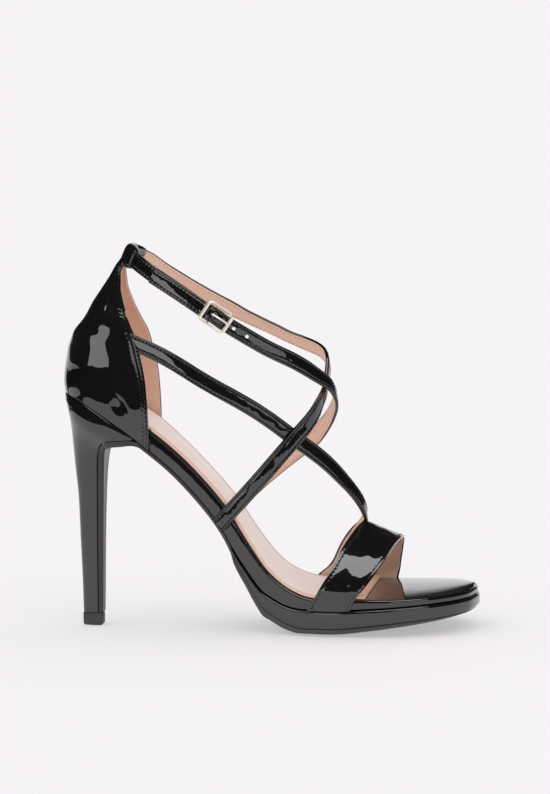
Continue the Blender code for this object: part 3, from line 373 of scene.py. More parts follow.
PROFILE = Table(("along", "rise", "spring", "board", "platform", "outsole", "drop"), (
    (0.0000, 1.0000, 0.0, 0.96, 0.00, 0.76, 0.00),
    (0.0480, 0.9724, 0.0, 0.92, 0.00, 0.76, 0.00),
    (0.0964, 0.9295, 0.0, 0.96, 0.00, 0.76, 0.00),
    (0.1448, 0.8780, 0.0, 1.00, 0.00, 0.76, 0.00),
    (0.1835, 0.8322, 0.0, 1.02, 0.00, 0.76, 0.00),
    (0.2174, 0.7865, 0.0, 1.03, 0.00, 0.76, 0.00),
    (0.2755, 0.6940, 0.0, 1.00, 0.00, 0.76, 0.70),
    (0.3385, 0.5710, 0.0, 0.99, 0.00, 0.76, 1.00),
    (0.3990, 0.4280, 0.0, 1.00, 0.08, 0.77, 1.00),
    (0.4475, 0.2774, 0.0, 1.00, 0.24, 0.80, 1.00),
    (0.4780, 0.1878, 0.0, 1.01, 0.42, 0.86, 1.00),
    (0.5031, 0.1240, 0.0, 1.03, 0.57, 0.92, 0.95),
    (0.5370, 0.0658, 0.0, 1.00, 0.74, 0.97, 0.80),
    (0.5651, 0.0324, 0.0, 0.92, 0.86, 1.00, 0.50),
    (0.5927, 0.0105, 0.0, 0.80, 0.97, 1.00, 0.15),
    (0.6218, 0.0000, 0.0, 0.70, 1.00, 1.00, 0.00),
    (0.6533, 0.0000, 0.0, 0.70, 1.00, 1.00, 0.00),
    (0.7792, 0.0000, 0.0, 0.56, 0.86, 0.95, 0.00),
    (0.8276, 0.0000, 0.1, 0.50, 0.81, 0.89, 0.00),
    (0.8906, 0.0000, 0.4, 0.45, 0.77, 0.76, 0.00),
    (0.9390, 0.0000, 0.7, 0.44, 0.71, 0.70, 0.00),
    (1.0000, 0.0000, 1.0, 0.42, 0.62, 0.65, 0.00),
))
BALL_ROW = 16

OUTLINE = (
    (0.0000, "seat", 0.000, 0.000),
    (0.0034, "seat", 0.124, 0.124),
    (0.0165, "seat", 0.269, 0.269),
    (0.0407, "seat", 0.388, 0.388),
    (0.0770, "seat", 0.467, 0.467),
    (0.1206, "seat", 0.500, 0.500),
    (0.1690, "seat", 0.500, 0.500),
    (0.2165, "seat", 0.482, 0.482),
    (0.2755, "waist", 0.500, 0.465),
    (0.3385, "waist", 0.500, 0.440),
    (0.4015, "waist", 0.513, 0.452),
    (0.4547, "ball", 0.331, 0.300),
    (0.5031, "ball", 0.372, 0.350),
    (0.5613, "ball", 0.423, 0.412),
    (0.6194, "ball", 0.464, 0.469),
    (0.6775, "ball", 0.487, 0.503),
    (0.7356, "ball", 0.495, 0.518),
    (0.7792, "ball", 0.492, 0.518),
    (0.8276, "ball", 0.474, 0.505),
    (0.8712, "ball", 0.444, 0.482),
    (0.9148, "ball", 0.385, 0.441),
    (0.9487, "ball", 0.314, 0.385),
    (0.9729, "ball", 0.231, 0.321),
    (0.9898, "ball", 0.135, 0.237),
    (1.0000, "ball", -0.058, 0.058),
)

LAST_SHAPE = Table(("up", "front", "back", "half"), (
    (0.00, 0.870, 0.090, 0.68),
    (0.16, 0.790, 0.065, 0.64),
    (0.30, 0.728, 0.040, 0.55),
    (0.44, 0.700, 0.028, 0.50),
    (0.55, 0.678, 0.020, 0.50),
    (0.66, 0.655, 0.015, 0.52),
    (0.77, 0.620, 0.030, 0.54),
    (0.88, 0.580, 0.080, 0.52),
    (1.02, 0.540, 0.145, 0.46),
    (1.10, 0.525, 0.175, 0.43),
))


class Outline:
    """The sole's outline at one inset, read by the distance from the heel back."""

    def __init__(self, dense: Array, inset: float) -> None:
        """Move the outline inwards and split it in its two sides.

        Args:
            dense: Points round the whole outline, from the heel back up the medial side.
            inset: How far inside it.
        """
        ahead = np.roll(dense, -1, axis=0) - np.roll(dense, 1, axis=0)
        normal = unit(np.stack([-ahead[:, 1], ahead[:, 0]], axis=1))
        inwards = dense - normal * inset
        first = int(np.argmin(inwards[:, 0]))
        turned = np.roll(inwards, -first, axis=0)
        last = int(np.argmax(turned[:, 0]))
        self.medial = turned[:last + 1]
        self.lateral = np.concatenate([turned[last:], turned[:1]])[::-1]
        self.start, self.end = float(self.medial[0, 0]), float(self.medial[-1, 0])

    def at(self, x: Array, side: Side) -> Array:
        """Return how far across the outline is on one side."""
        line = self.lateral if side is Side.LATERAL else self.medial
        return np.interp(x, line[:, 0], line[:, 1])


@dataclass
class Last:
    """The last that every piece is measured on, with the sole's layers under it."""

    length: float = 0.2065
    heel_height: float = 0.1157
    seat_length: float = 0.0447
    seat_width: float = 0.0484
    seat_share: float = 0.2165
    waist_width: float = 0.0460
    ball_width: float = 0.0780
    board: float = 0.0080
    platform: float = 0.0090
    outsole: float = 0.0037
    outsole_inset: float = 0.0006
    breast_share: float = 0.1950
    toe_rise: float = 0.0016
    medial_drop: float = 0.0013
    gap: float = 0.0003
    board_step: float = 0.0007
    counter_height: float = 0.0675
    ankle_to_seat: float = 1.157
    platform_start_share: float = 0.4150
    flat_start_share: float = 0.5820
    flat_end_share: float = 0.6533
    squareness: float = 2.7
    seat_rise: float = 0.0034

    def __post_init__(self) -> None:
        """Work out the heights and curves that the pieces share."""
        along = self.distance(PROFILE.column("along"))
        self.layer = {name: Curve(along, PROFILE.column(name)) for name in PROFILE.names[1:]}
        ball = dict(zip(PROFILE.names, PROFILE.rows[BALL_ROW]))
        self.ball_top = (self.board * ball["board"] + self.platform * ball["platform"]
                         + self.outsole * ball["outsole"] + 2.0 * self.gap)
        self.seat_top = self.heel_height + self.board * PROFILE.rows[0][PROFILE.names.index("board")]
        self.ankle_height = self.heel_height + self.counter_height
        self.ankle_width = self.ankle_to_seat * self.seat_width
        self.platform_start = float(self.distance(self.platform_start_share))
        self.flat_start = float(self.distance(self.flat_start_share))
        self.flat_end = float(self.distance(self.flat_end_share))
        self.dense = self.closed_outline()
        self.full = Outline(self.dense, 0.0)
        self.front = LAST_SHAPE.curve("up", "front")
        self.back = LAST_SHAPE.curve("up", "back")
        self.half = LAST_SHAPE.curve("up", "half")

    def distance(self, share: Array | float) -> Array:
        """Return the distance from the heel back for a share of the length; the seat keeps its own."""
        share = np.asarray(share, float)
        rest = (share - self.seat_share) / (1.0 - self.seat_share) * (self.length - self.seat_length)
        return np.where(share < self.seat_share, share / self.seat_share * self.seat_length,
                        self.seat_length + rest)

    def closed_outline(self) -> Array:
        """Return dense points round the sole, heel back to toe on the medial side and back."""
        widths = {"seat": self.seat_width, "waist": self.waist_width, "ball": self.ball_width}
        medial = [(float(self.distance(row[0])), row[3] * widths[row[1]]) for row in OUTLINE]
        lateral = [(float(self.distance(row[0])), -row[2] * widths[row[1]]) for row in OUTLINE[1:-1]]
        p1 = np.array(medial + lateral[::-1])
        p0, p2, p3 = (np.roll(p1, turn, axis=0) for turn in (1, -1, -2))
        spans = []
        for t in np.linspace(0.0, 1.0, 16, endpoint=False):
            spans.append(0.5 * (2 * p1 + (p2 - p0) * t + (2 * p0 - 5 * p1 + 4 * p2 - p3) * t * t
                                + (3 * p1 - p0 - 3 * p2 + p3) * t ** 3))
        return np.stack(spans, axis=1).reshape(-1, 2)

    def top(self, x: Array) -> Array:
        """Return the height of the insole board's upper face."""
        return (self.ball_top + self.layer["rise"](x) * (self.seat_top - self.ball_top)
                + self.layer["spring"](x) * self.toe_rise)

    def square(self, x: Array) -> Array:
        """Return how much longer a straight-down depth is than one square to the slope."""
        reach = self.length / 100.0
        ahead, behind = np.minimum(x + reach, self.length), np.maximum(x - reach, 0.0)
        return np.hypot(1.0, (self.top(ahead) - self.top(behind)) / (ahead - behind))

    def board_low(self, x: Array) -> Array:
        """Return the height of the board's underside."""
        return self.top(x) - self.board * self.layer["board"](x) * self.square(x)

    def platform_top(self, x: Array) -> Array:
        """Return the height of the platform's upper face."""
        return self.board_low(x) - self.gap * self.square(x)

    def platform_low(self, x: Array) -> Array:
        """Return the height of the platform's underside."""
        return self.platform_top(x) - self.platform * self.layer["platform"](x) * self.square(x)

    def outsole_top(self, x: Array) -> Array:
        """Return the height of the outsole's upper face, under the platform or the board."""
        rear = self.board_low(x) - self.gap * self.square(x)
        return np.where(x < self.platform_start, rear, self.platform_low(x) - self.gap * self.square(x))

    def tread(self, x: Array) -> Array:
        """Return the height of the tread on the centre line, flat on the floor under the ball.

        Args:
            x: Distances from the heel back.

        Returns:
            A height for each.
        """
        wedge = np.minimum(1.0, self.layer["platform"](x) / self.layer["platform"](self.flat_start))
        front = self.platform * self.layer["platform"](x) + self.gap * wedge
        depth = self.outsole * self.layer["outsole"](x) + np.where(x > self.platform_start, front, 0.0)
        height = np.maximum(0.0, self.board_low(x) - self.gap * self.square(x) - depth * self.square(x))
        return np.where((x >= self.flat_start) & (x <= self.flat_end), 0.0, height)

    def seat_line(self, x: Array) -> Array:
        """Return the height of the seam between counter and heel, which rises towards the back."""
        back, edge = self.board_low(np.array(0.0)), self.board_low(np.array(self.seat_length))
        fall = np.clip((self.board_low(x) - back) / (edge - back), 0.0, 1.0)
        return self.board_low(x) + self.seat_rise * (1.0 - fall)

    def drop(self, x: Array, y: Array) -> Array:
        """Return how much lower the layers are at a point than on their lateral edge."""
        lateral, medial = self.full.at(x, Side.LATERAL), self.full.at(x, Side.MEDIAL)
        share = (y - lateral) / np.maximum(medial - lateral, self.gap)
        return self.medial_drop * self.layer["drop"](x) * np.clip(share, 0.0, 1.1) ** 2

    def level(self, points: Array) -> Array:
        """Tell which points are inside the last above the sole.

        Args:
            points: The points.

        Returns:
            A value for each, below 1 inside and above 1 outside.
        """
        up = points[..., 2] / self.ankle_height
        front, back = self.distance(self.front(up)), self.distance(self.back(up))
        centre, reach = (front + back) / 2.0, (front - back) / 2.0
        half = self.half(up) * self.ankle_width
        return (np.abs((points[..., 0] - centre) / reach) ** self.squareness
                + np.abs(points[..., 1] / half) ** self.squareness)

    def outwards(self, points: Array) -> Array:
        """Return the unit direction straight out of the last at each point."""
        reach = self.length / 100.0
        steps = np.eye(3) * reach
        gradient = [self.level(points + step) - self.level(points - step) for step in steps]
        return unit(np.stack(gradient, axis=-1))


# Sole

@dataclass
class EdgeForm:
    """How a layer's section turns at its edge: rounded above and below, with a groove if it has one."""

    top_round: float
    low_round: float
    lift: float = 0.0
    lift_width: float = 0.0
    groove_at: float = 0.0
    groove_depth: float = 0.0
    groove_width: float = 0.0008

    def stops(self) -> tuple[Array, Array, Array]:
        """Return the edge's points from the underside, round the side and onto the top.

        Returns:
            Their insets from the outline, whether each is measured from the top, and how deep in.
        """
        turn = np.radians(np.linspace(0.0, 90.0, 7))
        rows = []
        if self.lift:
            for share in (1.0, 0.6, 0.3):
                rows.append((self.low_round + self.lift_width * share, 0.0, self.lift * (1.0 - share) ** 2))
        rows += [(self.low_round * (1 - math.sin(a)), 0.0, self.lift + self.low_round * (1 - math.cos(a)))
                 for a in turn]
        rows += [(self.top_round * (1 - math.cos(a)), 1.0, self.top_round * (1 - math.sin(a))) for a in turn]
        if self.groove_at:
            for share in (-1.0, -0.6, -0.3, 0.0, 0.3, 0.6, 1.0):
                depth = self.groove_depth * 0.5 * (1.0 + math.cos(math.pi * share))
                rows.append((self.groove_at + share * self.groove_width, 1.0, depth))
        return tuple(np.array(rows).T)


@dataclass
class SoleLayer:
    """One layer of the sole between two heights, inside one outline."""

    last: Last
    top: Callable[[Array], Array]
    low: Callable[[Array], Array]
    inset: float
    edge: EdgeForm
    step: float = 0.0015
    inner: int = 13
    bunch_share: float = 0.06
    bunch_points: int = 14
    crown: Callable[[Array], Array] | None = None

    def marks(self, start: float | None, end: float | None) -> Array:
        """Mark off the layer's sections, closer together where an end rounds off.

        Args:
            start: Where it is cut straight across at the back, or None where it rounds off.
            end: The same in front.

        Returns:
            Shares from 0 to 1 along it.
        """
        count = max(6, round(((end or self.last.length) - (start or 0.0)) / self.step))
        even = np.linspace(0.0, 1.0, count)
        bunch = self.bunch_share * (1.0 - np.cos(np.linspace(0.0, math.pi / 2.0, self.bunch_points)))
        first = bunch if start is None else np.array([0.0])
        last = 1.0 - bunch[::-1] if end is None else np.array([1.0])
        return np.concatenate([first, even[(even > first[-1]) & (even < last[0])], last])

    def sections(self, start: float | None = None, end: float | None = None) -> Array:
        """Return the layer's closed sections from heel to toe.

        Args:
            start: Where it is cut straight across at the back, or None where it rounds off.
            end: The same in front.

        Returns:
            An array of sections by points by three.
        """
        insets, from_top, depth = self.edge.stops()
        outlines = [Outline(self.last.dense, self.inset + inset) for inset in insets]
        share = self.marks(start, end)
        sides = {Side.LATERAL: [], Side.MEDIAL: []}
        for outline, top_share, deep in zip(outlines, from_top, depth):
            first = outline.start if start is None else start
            final = outline.end if end is None else end
            x = first + (final - first) * share
            top, low = self.top(x), self.low(x)
            room = 0.48 * (top - low - self.edge.lift)
            deep = np.minimum(deep, room + (self.edge.lift if not top_share else 0.0))
            z = np.where(top_share > 0.5, top - deep, low + deep)
            for side, rows in sides.items():
                rows.append(np.stack([x, outline.at(x, side), z], axis=1))
        lateral, medial = (np.array(sides[side]) for side in (Side.LATERAL, Side.MEDIAL))
        return self.ring(lateral, medial)

    def ring(self, lateral: Array, medial: Array) -> Array:
        """Join the two sides of the sections over the top and under the bottom.

        Args:
            lateral: The points up the lateral edge, for each section.
            medial: The points up the medial edge.

        Returns:
            The closed sections, lowered towards the medial side.
        """
        across = np.linspace(0.0, 1.0, self.inner + 2)[1:-1]
        over = np.array([lateral[-1] * (1 - t) + medial[-1] * t for t in across])
        if self.crown is not None:
            over[..., 2] += self.crown(over[..., 0]) * (4.0 * across * (1.0 - across))[:, None]
        under = np.array([medial[0] * (1 - t) + lateral[0] * t for t in across])
        under[..., 2] = self.low(under[..., 0])
        loops = np.concatenate([lateral, over, medial[::-1], under]).transpose(1, 0, 2).copy()
        loops[..., 2] -= self.last.drop(loops[..., 0], loops[..., 1])
        return loops


@dataclass
class Sole:
    """Everything under the foot: wrapped board, wrapped platform, padded sock and outsole."""

    last: Last
    counter_clearance: float = 0.0002
    sock_clearance: float = 0.0005
    sock_inset: float = 0.0018
    sock_thickness: float = 0.0012
    sock_length: float = 0.1540
    sock_line: float = 0.0036
    sock_crown: float = 0.0003
    toe_crown: float = 0.0016
    # How far inside the pressed line the painted shade on the sock's rim reaches, and over how much it fades out
    border_beyond: float = 0.0008
    border_fade: float = 0.0012
    ledge: float = 0.0008
    joint: float = 0.0002
    tread_lift: float = 0.00136
    tread_lift_width: float = 0.0110

    def build(self) -> list[Piece]:
        """Return the sole's pieces."""
        return [self.board(), self.platform(), self.sock(), self.outsole()]

    def board(self) -> Piece:
        """Return the insole board, wrapped in patent and narrower inside the counter."""
        last = self.last
        edge = EdgeForm(top_round=0.0015, low_round=0.0009)
        inside = UPPER_WALL + last.gap + self.counter_clearance
        step = last.seat_length + last.board_step

        def crown(x: Array) -> Array:
            """Return how far the board is crowned, ahead of the sock."""
            ahead = np.clip((x - self.sock_length) / (last.length - self.sock_length), 0.0, 1.0)
            return self.toe_crown * np.sin(np.minimum(ahead * 3.0, 1.0) * math.pi / 2.0)

        rear = SoleLayer(last, last.top, last.board_low, inside, edge).sections(None, step)
        front = SoleLayer(last, last.top, last.board_low, 0.0, edge, crown=crown).sections(step + self.joint, None)
        bm = lay_grid(np.concatenate([rear, front]), closed=True)
        return Piece("insole_board_wrap", bm, PATENT, "patent_leather", ("insole_board",))

    def platform(self) -> Piece:
        """Return the platform under the forefoot, wrapped in the same patent."""
        last = self.last
        edge = EdgeForm(top_round=0.0013, low_round=0.0009)
        layer = SoleLayer(last, last.platform_top, last.platform_low, -self.ledge, edge)
        bm = lay_grid(layer.sections(last.platform_start + last.gap, None), closed=True)
        return Piece("platform_wrap", bm, PATENT, "patent_leather", ("platform",))

    def sock(self) -> Piece:
        """Return the padded sock, with a line pressed in round its edge."""
        last = self.last

        def low(x: Array) -> Array:
            """Return the height of the sock's underside."""
            return last.top(x) + last.gap * last.square(x)

        def top(x: Array) -> Array:
            """Return the height of the sock's upper face."""
            return low(x) + self.sock_thickness * last.square(x)

        def crown(x: Array) -> Array:
            """Return how far the sock is crowned by its foam."""
            return np.full_like(x, self.sock_crown)

        edge = EdgeForm(top_round=0.0010, low_round=0.0002, groove_at=self.sock_line, groove_depth=0.00035)
        inside = UPPER_WALL + last.gap + self.counter_clearance + self.sock_clearance
        step = last.seat_length + last.board_step
        rear = SoleLayer(last, top, low, inside, edge, crown=crown).sections(None, step)
        front = SoleLayer(last, top, low, self.sock_inset, edge, crown=crown)
        front_sections = front.sections(step + last.board_step, self.sock_length)
        bm = lay_grid(np.concatenate([rear, front_sections]), closed=True)
        # Mask of the painted shade on the sock's rim: 1 on the rim, fading to 0 inside the pressed line
        border = bm.verts.layers.float.new("border")
        pressed = self.sock_inset + self.sock_line + self.border_beyond
        for vertex in bm.verts:
            x, y, _ = vertex.co
            inset = min(last.full.at(x, Side.MEDIAL) - y, y - last.full.at(x, Side.LATERAL), self.sock_length - x)
            vertex[border] = min(1.0, max(0.0, (pressed - inset) / self.border_fade))
        return Piece("insole_sock_padded", bm, SOCK, "sock_leather", ("insole_sock",))

    def outsole(self) -> Piece:
        """Return the outsole with its tread edge turned up, from the shank to the toe."""
        last = self.last
        edge = EdgeForm(top_round=0.0002, low_round=0.0004, lift=self.tread_lift, lift_width=self.tread_lift_width)
        layer = SoleLayer(last, last.outsole_top, last.tread, last.outsole_inset, edge)
        bm = lay_grid(layer.sections(float(last.distance(last.breast_share)), None), closed=True)
        return Piece("outsole_rubber", bm, TREAD, "tread_rubber", ("outsole",))


# Heel

HEEL_SHAPE = Table(("back", "front", "back_up", "front_up", "half"), (
    (0.168, 0.349, 0.057, 0.057, 0.188),
    (0.161, 0.349, 0.195, 0.195, 0.192),
    (0.145, 0.351, 0.372, 0.372, 0.208),
    (0.130, 0.358, 0.550, 0.550, 0.250),
    (0.098, 0.371, 0.693, 0.693, 0.345),
    (0.078, 0.387, 0.788, 0.758, 0.470),
    (0.060, 0.434, 0.874, 0.800, 0.660),
    (0.038, 0.535, 0.930, 0.822, 0.840),
    (0.016, 0.691, 0.972, 0.829, 0.945),
    (0.000, 0.832, 1.000, 0.834, 0.990),
    (0.000, 0.832, 1.060, 0.900, 0.990),
))
FLAP_SHAPE = Table(("up", "thickness"), (
    (0.0, 0.57),
    (0.3, 0.78),
    (0.5, 0.84),
    (1.0, 0.76),
))


@dataclass
class Heel:
    """The wrapped stiletto heel with its top piece and the flap down its breast."""

    last: Last
    tip_height: float = 0.0063
    tip_overhang: float = 0.0002
    back_points: int = 44
    rings: int = 260
    rim_round: float = 0.0006
    rim_height: float = 0.0012
    roundness: float = 0.85
    breast_round: float = 0.0007
    tip_breast_round: float = 0.0004
    flap_from: float = 0.40
    flap_top: float = 0.80
    flap_width_share: float = 0.97
    flap_soft: float = 0.0004
    flap_hollow: float = 0.0004
    edge_lift: float = 0.0013

    def __post_init__(self) -> None:
        """Read the heel's table as curves."""
        self.curves = {name: HEEL_SHAPE.steps(name) for name in HEEL_SHAPE.names}

    def section(self, t: Array | float) -> tuple[Array, Array, Array, Array, Array]:
        """Return back, front, back height, front height and half width at t, from tip to seat."""
        last = self.last
        sizes = (last.seat_length, last.seat_length, last.heel_height, last.heel_height, last.seat_width / 2.0)
        return tuple(self.curves[name](t) * size for name, size in zip(HEEL_SHAPE.names, sizes))

    def ring(self, t: float, grow: float, breast_round: float) -> Array:
        """Return one closed section: round behind, and flat at the breast with softened corners.

        Args:
            t: Where, from 0 at the tip to 1 at the seat.
            grow: How far outside the heel it is.
            breast_round: The radius of its corners at the breast.

        Returns:
            Its points.
        """
        back, front, back_up, front_up, half = (float(v) for v in self.section(t))
        back, half = back - grow, half + grow
        angle = np.linspace(0.0, math.pi, self.back_points + 1)
        reach = np.abs(np.sin(angle)) ** self.roundness
        across = -np.copysign(np.abs(np.cos(angle)) ** self.roundness, np.cos(angle))
        x = front - (front - back) * reach
        z = front_up + (back_up - front_up) * reach
        line = np.stack([x, across * half, z], axis=1)
        soft = min(breast_round, 0.3 * half)
        line[0] += (-soft, 0.0, 0.0)
        line[-1] += (-soft, 0.0, 0.0)
        corners = []
        for side in (1, -1):
            corner = [(front - 0.3 * soft, side * (half - 0.3 * soft), front_up),
                      (front, side * (half - soft), front_up)]
            corners.append(corner if side > 0 else corner[::-1])
        return np.concatenate([line, corners[0], corners[1]])

    def build(self) -> list[Piece]:
        """Return the heel, its top piece and the flap."""
        return [self.heel(), self.tip(), self.flap()]

    def heel(self) -> Piece:
        """Return the heel, trimmed to the underside of the seat."""
        last = self.last
        rings = np.array([self.ring(t, 0.0, self.breast_round) for t in np.linspace(0.0, 1.0, self.rings)])
        x = np.maximum(rings[..., 0], 0.0)
        seat = last.seat_line(x) - last.gap * last.square(x)
        rings[..., 2] = np.minimum(rings[..., 2], seat)
        rim = self.rim_round * np.clip(1.0 - (seat - rings[..., 2]) / self.rim_height, 0.0, 1.0) ** 2
        rings[..., 1] -= np.sign(rings[..., 1]) * rim
        rings[..., 0] += np.where(rings[..., 0] < 0.4 * last.seat_length, rim, 0.0)
        bm = lay_grid(rings, closed=True)
        return Piece("heel_wrapped", bm, HEEL_WRAP, "lacquered_heel", ("heel",))

    def tip(self) -> Piece:
        """Return the top piece that meets the floor."""
        flap = self.last.gap + self.last.outsole * self.flap_from
        rings = []
        for z, grow in ((0.0, -0.0004), (0.0003, 0.0), (0.0008, self.tip_overhang),
                        (self.tip_height - 0.0006, self.tip_overhang), (self.tip_height - 0.0002, 0.0),
                        (self.tip_height, -0.0003)):
            ring = self.ring(0.0, grow, self.tip_breast_round)
            ring[..., 0] += np.where(ring[..., 0] > np.max(ring[..., 0]) - 0.0005, flap + grow, 0.0)
            ring[..., 2] = z
            rings.append(ring)
        bm = lay_grid(np.array(rings), closed=True)
        return Piece("heel_top_piece", bm, TIP, "tip_rubber", ("heel_tip",))

    def flap(self) -> Piece:
        """Return the outsole's flap: glued down the breast of the heel, and bent to meet the shank."""
        last = self.last
        turn = float(last.distance(last.breast_share))
        half_width = -float(Outline(last.dense, last.outsole_inset).at(turn, Side.LATERAL))
        thin = FLAP_SHAPE.curve("up", "thickness")
        rings = []
        for t in np.concatenate([np.linspace(0.0, 0.4, 12), np.linspace(0.42, self.flap_top, 26)]):
            near, far = self.section(max(t - 0.01, 0.0)), self.section(t + 0.01)
            run = unit(np.array([float(far[1] - near[1]), float(far[3] - near[3])]))
            out = np.array([run[1], -run[0]])
            _, front, _, front_up, half = (float(v) for v in self.section(t))
            inner = np.array([front, front_up]) + out * last.gap
            width, thick = min(half * self.flap_width_share, half_width), last.outsole * float(thin(t))
            rings.append(self.flap_ring(inner, out, width, thick))
        reach = last.length / 100.0
        end = np.array([turn, float(last.outsole_top(np.array(turn)))])
        slope = float(last.outsole_top(np.array(turn + reach)) - last.outsole_top(np.array(turn))) / reach
        run_end = unit(np.array([1.0, slope]))
        thick_end = end[1] - float(last.tread(np.array(turn)))
        out_end = np.array([0.0, -1.0])
        span = float(np.linalg.norm(end - inner))
        for s in np.linspace(0.0, 1.0, 13)[1:]:
            bend = ((1 + 2 * s) * (1 - s) ** 2 * inner + s * (1 - s) ** 2 * span * run
                    + s * s * (3 - 2 * s) * end + s * s * (s - 1) * span * run_end)
            turned = unit(out * (1 - s) + out_end * s)
            rings.append(self.flap_ring(bend, turned, width + (half_width - width) * s,
                                        thick + (thick_end - thick) * s, s))
        bm = lay_grid(np.array(rings), closed=True)
        # The flap's finish carries a painted reflection: a lighter grey than the outsole
        return Piece("outsole_flap", bm, FLAP, "tread_rubber")

    def flap_ring(self, inner: Array, out: Array, width: float, thick: float, bent: float = 0.0) -> list[tuple]:
        """Return one section of the flap.

        Args:
            inner: Its inner face, as distances along and up.
            out: The direction through it, away from the heel.
            width: Half its width.
            thick: Its thickness.
            bent: How far round to the shank it is, as a share: less hollow, and thinner at its sides.

        Returns:
            Its points.
        """
        soft, hollow, lift = self.flap_soft, self.flap_hollow * (1 - bent), self.edge_lift * bent
        edge, between = thick - lift, thick - 0.75 * hollow - 0.3 * lift
        ring = [(-width, 0.0), (width, 0.0), (width, edge - soft), (width - 0.3 * soft, edge - 0.3 * soft),
                (width - soft, edge), (0.5 * width, between), (0.0, thick - hollow), (-0.5 * width, between),
                (soft - width, edge), (0.3 * soft - width, edge - 0.3 * soft), (-width, edge - soft)]
        return [(inner[0] + out[0] * deep, y, inner[1] + out[1] * deep) for y, deep in ring]


# Straps

ROUTE_NAMES = ("along", "across", "up", "lean")
BILLET_ROUTE = Table(ROUTE_NAMES, (
    (0.3920, None, 0.2980, 0),
    (0.4160, None, 0.3330, 0),
    (0.4420, 0.440, 0.3640, 0),
    (0.4780, 0.452, 0.4000, 6),
    (0.5149, 0.429, 0.4340, 10),
    (0.5602, 0.375, 0.4740, 10),
    (0.5903, 0.330, 0.5010, 6),
    (0.6182, 0.259, 0.5370, 0),
    (0.6354, 0.196, 0.5641, 0),
    (0.6521, 0.107, 0.5983, 0),
    (0.6593, 0.015, 0.6250, 0),
    (0.6574, -0.054, 0.6473, 0),
    (0.6485, -0.116, 0.6695, 0),
    (0.6301, -0.205, 0.6909, 0),
    (0.6083, -0.277, 0.7113, 0),
    (0.5707, -0.375, 0.7421, 0),
    (0.5172, -0.455, 0.7750, 0),
    (0.4741, -0.486, 0.8035, 4),
    (0.4262, -0.500, 0.8365, 10),
    (0.3735, -0.504, 0.8745, 12),
    (0.3487, -0.498, 0.8930, 12),
    (0.2993, -0.468, 0.9290, 6),
    (0.2310, -0.375, 0.9740, 0),
))
BUCKLE_ROW = 19
CARRIER_ROUTE = Table(ROUTE_NAMES, (
    (0.3865, None, 0.2960, 0),
    (0.4110, None, 0.3270, 0),
    (0.4383, -0.452, 0.3600, 0),
    (0.4872, -0.455, 0.4210, 0),
    (0.5351, -0.430, 0.4830, 0),
    (0.5828, -0.375, 0.5452, -4),
    (0.6128, -0.286, 0.5893, -14),
    (0.6265, -0.214, 0.6209, -20),
    (0.6360, -0.107, 0.6516, -18),
    (0.6390, 0.000, 0.6890, -8),
    (0.6395, 0.071, 0.7180, -8),
    (0.6310, 0.161, 0.7390, -10),
    (0.5990, 0.286, 0.7580, 2),
    (0.5499, 0.375, 0.7763, 18),
    (0.4885, 0.438, 0.8058, 28),
    (0.4349, 0.478, 0.8320, 24),
    (0.3879, 0.489, 0.8590, 16),
    (0.3249, 0.482, 0.8960, 6),
    (0.2659, 0.420, 0.9380, 0),
    (0.2230, 0.325, 0.9740, 0),
    (0.1900, 0.190, 1.0060, 0),
    (0.1610, 0.000, 1.0190, 0),
    (0.1820, -0.190, 1.0080, 0),
))
LOOP_ROW = 21
INSTEP_ROUTE = Table(ROUTE_NAMES, (
    (0.1690, -0.382, 0.7970, 0),
    (0.1935, -0.396, 0.7860, 0),
    (0.2252, -0.425, 0.7720, 2),
    (0.2881, -0.470, 0.7370, 6),
    (0.3525, -0.490, 0.6930, 8),
    (0.4363, -0.486, 0.6400, 8),
    (0.5104, -0.435, 0.5850, 7),
    (0.5700, -0.352, 0.5300, 3),
    (0.6349, -0.240, 0.4685, -6),
    (0.6809, -0.140, 0.4095, -12),
    (0.7164, -0.030, 0.3500, -14),
    (0.7275, 0.070, 0.3060, -10),
    (0.7180, 0.190, 0.2670, 0),
    (0.7000, 0.300, 0.2400, 0),
))


@dataclass
class Frames:
    """Points along a strap, with the directions along it, out of it and across it."""

    points: Array
    tangents: Array
    normals: Array
    wides: Array

    def __post_init__(self) -> None:
        """Measure the distance along the strap."""
        self.lengths = arc_lengths(self.points)

    def nearest(self, target: Array) -> int:
        """Return the index of the frame nearest a point."""
        return int(np.argmin(np.linalg.norm(self.points - target, axis=1)))

    def at(self, length: float) -> tuple[Array, Array, Array, Array]:
        """Return point, tangent, normal and width direction at a distance along the strap."""
        i = int(np.clip(np.searchsorted(self.lengths, length) - 1, 0, len(self.lengths) - 2))
        t = (length - self.lengths[i]) / (self.lengths[i + 1] - self.lengths[i])
        return tuple(values[i] * (1 - t) + values[i + 1] * t
                     for values in (self.points, self.tangents, self.normals, self.wides))

    def section(self, profile: Array) -> Array:
        """Return a section swept along the strap, from its rows of distance across and out."""
        return (self.points[:, None] + self.wides[:, None] * profile[None, :, :1]
                + self.normals[:, None] * profile[None, :, 1:])


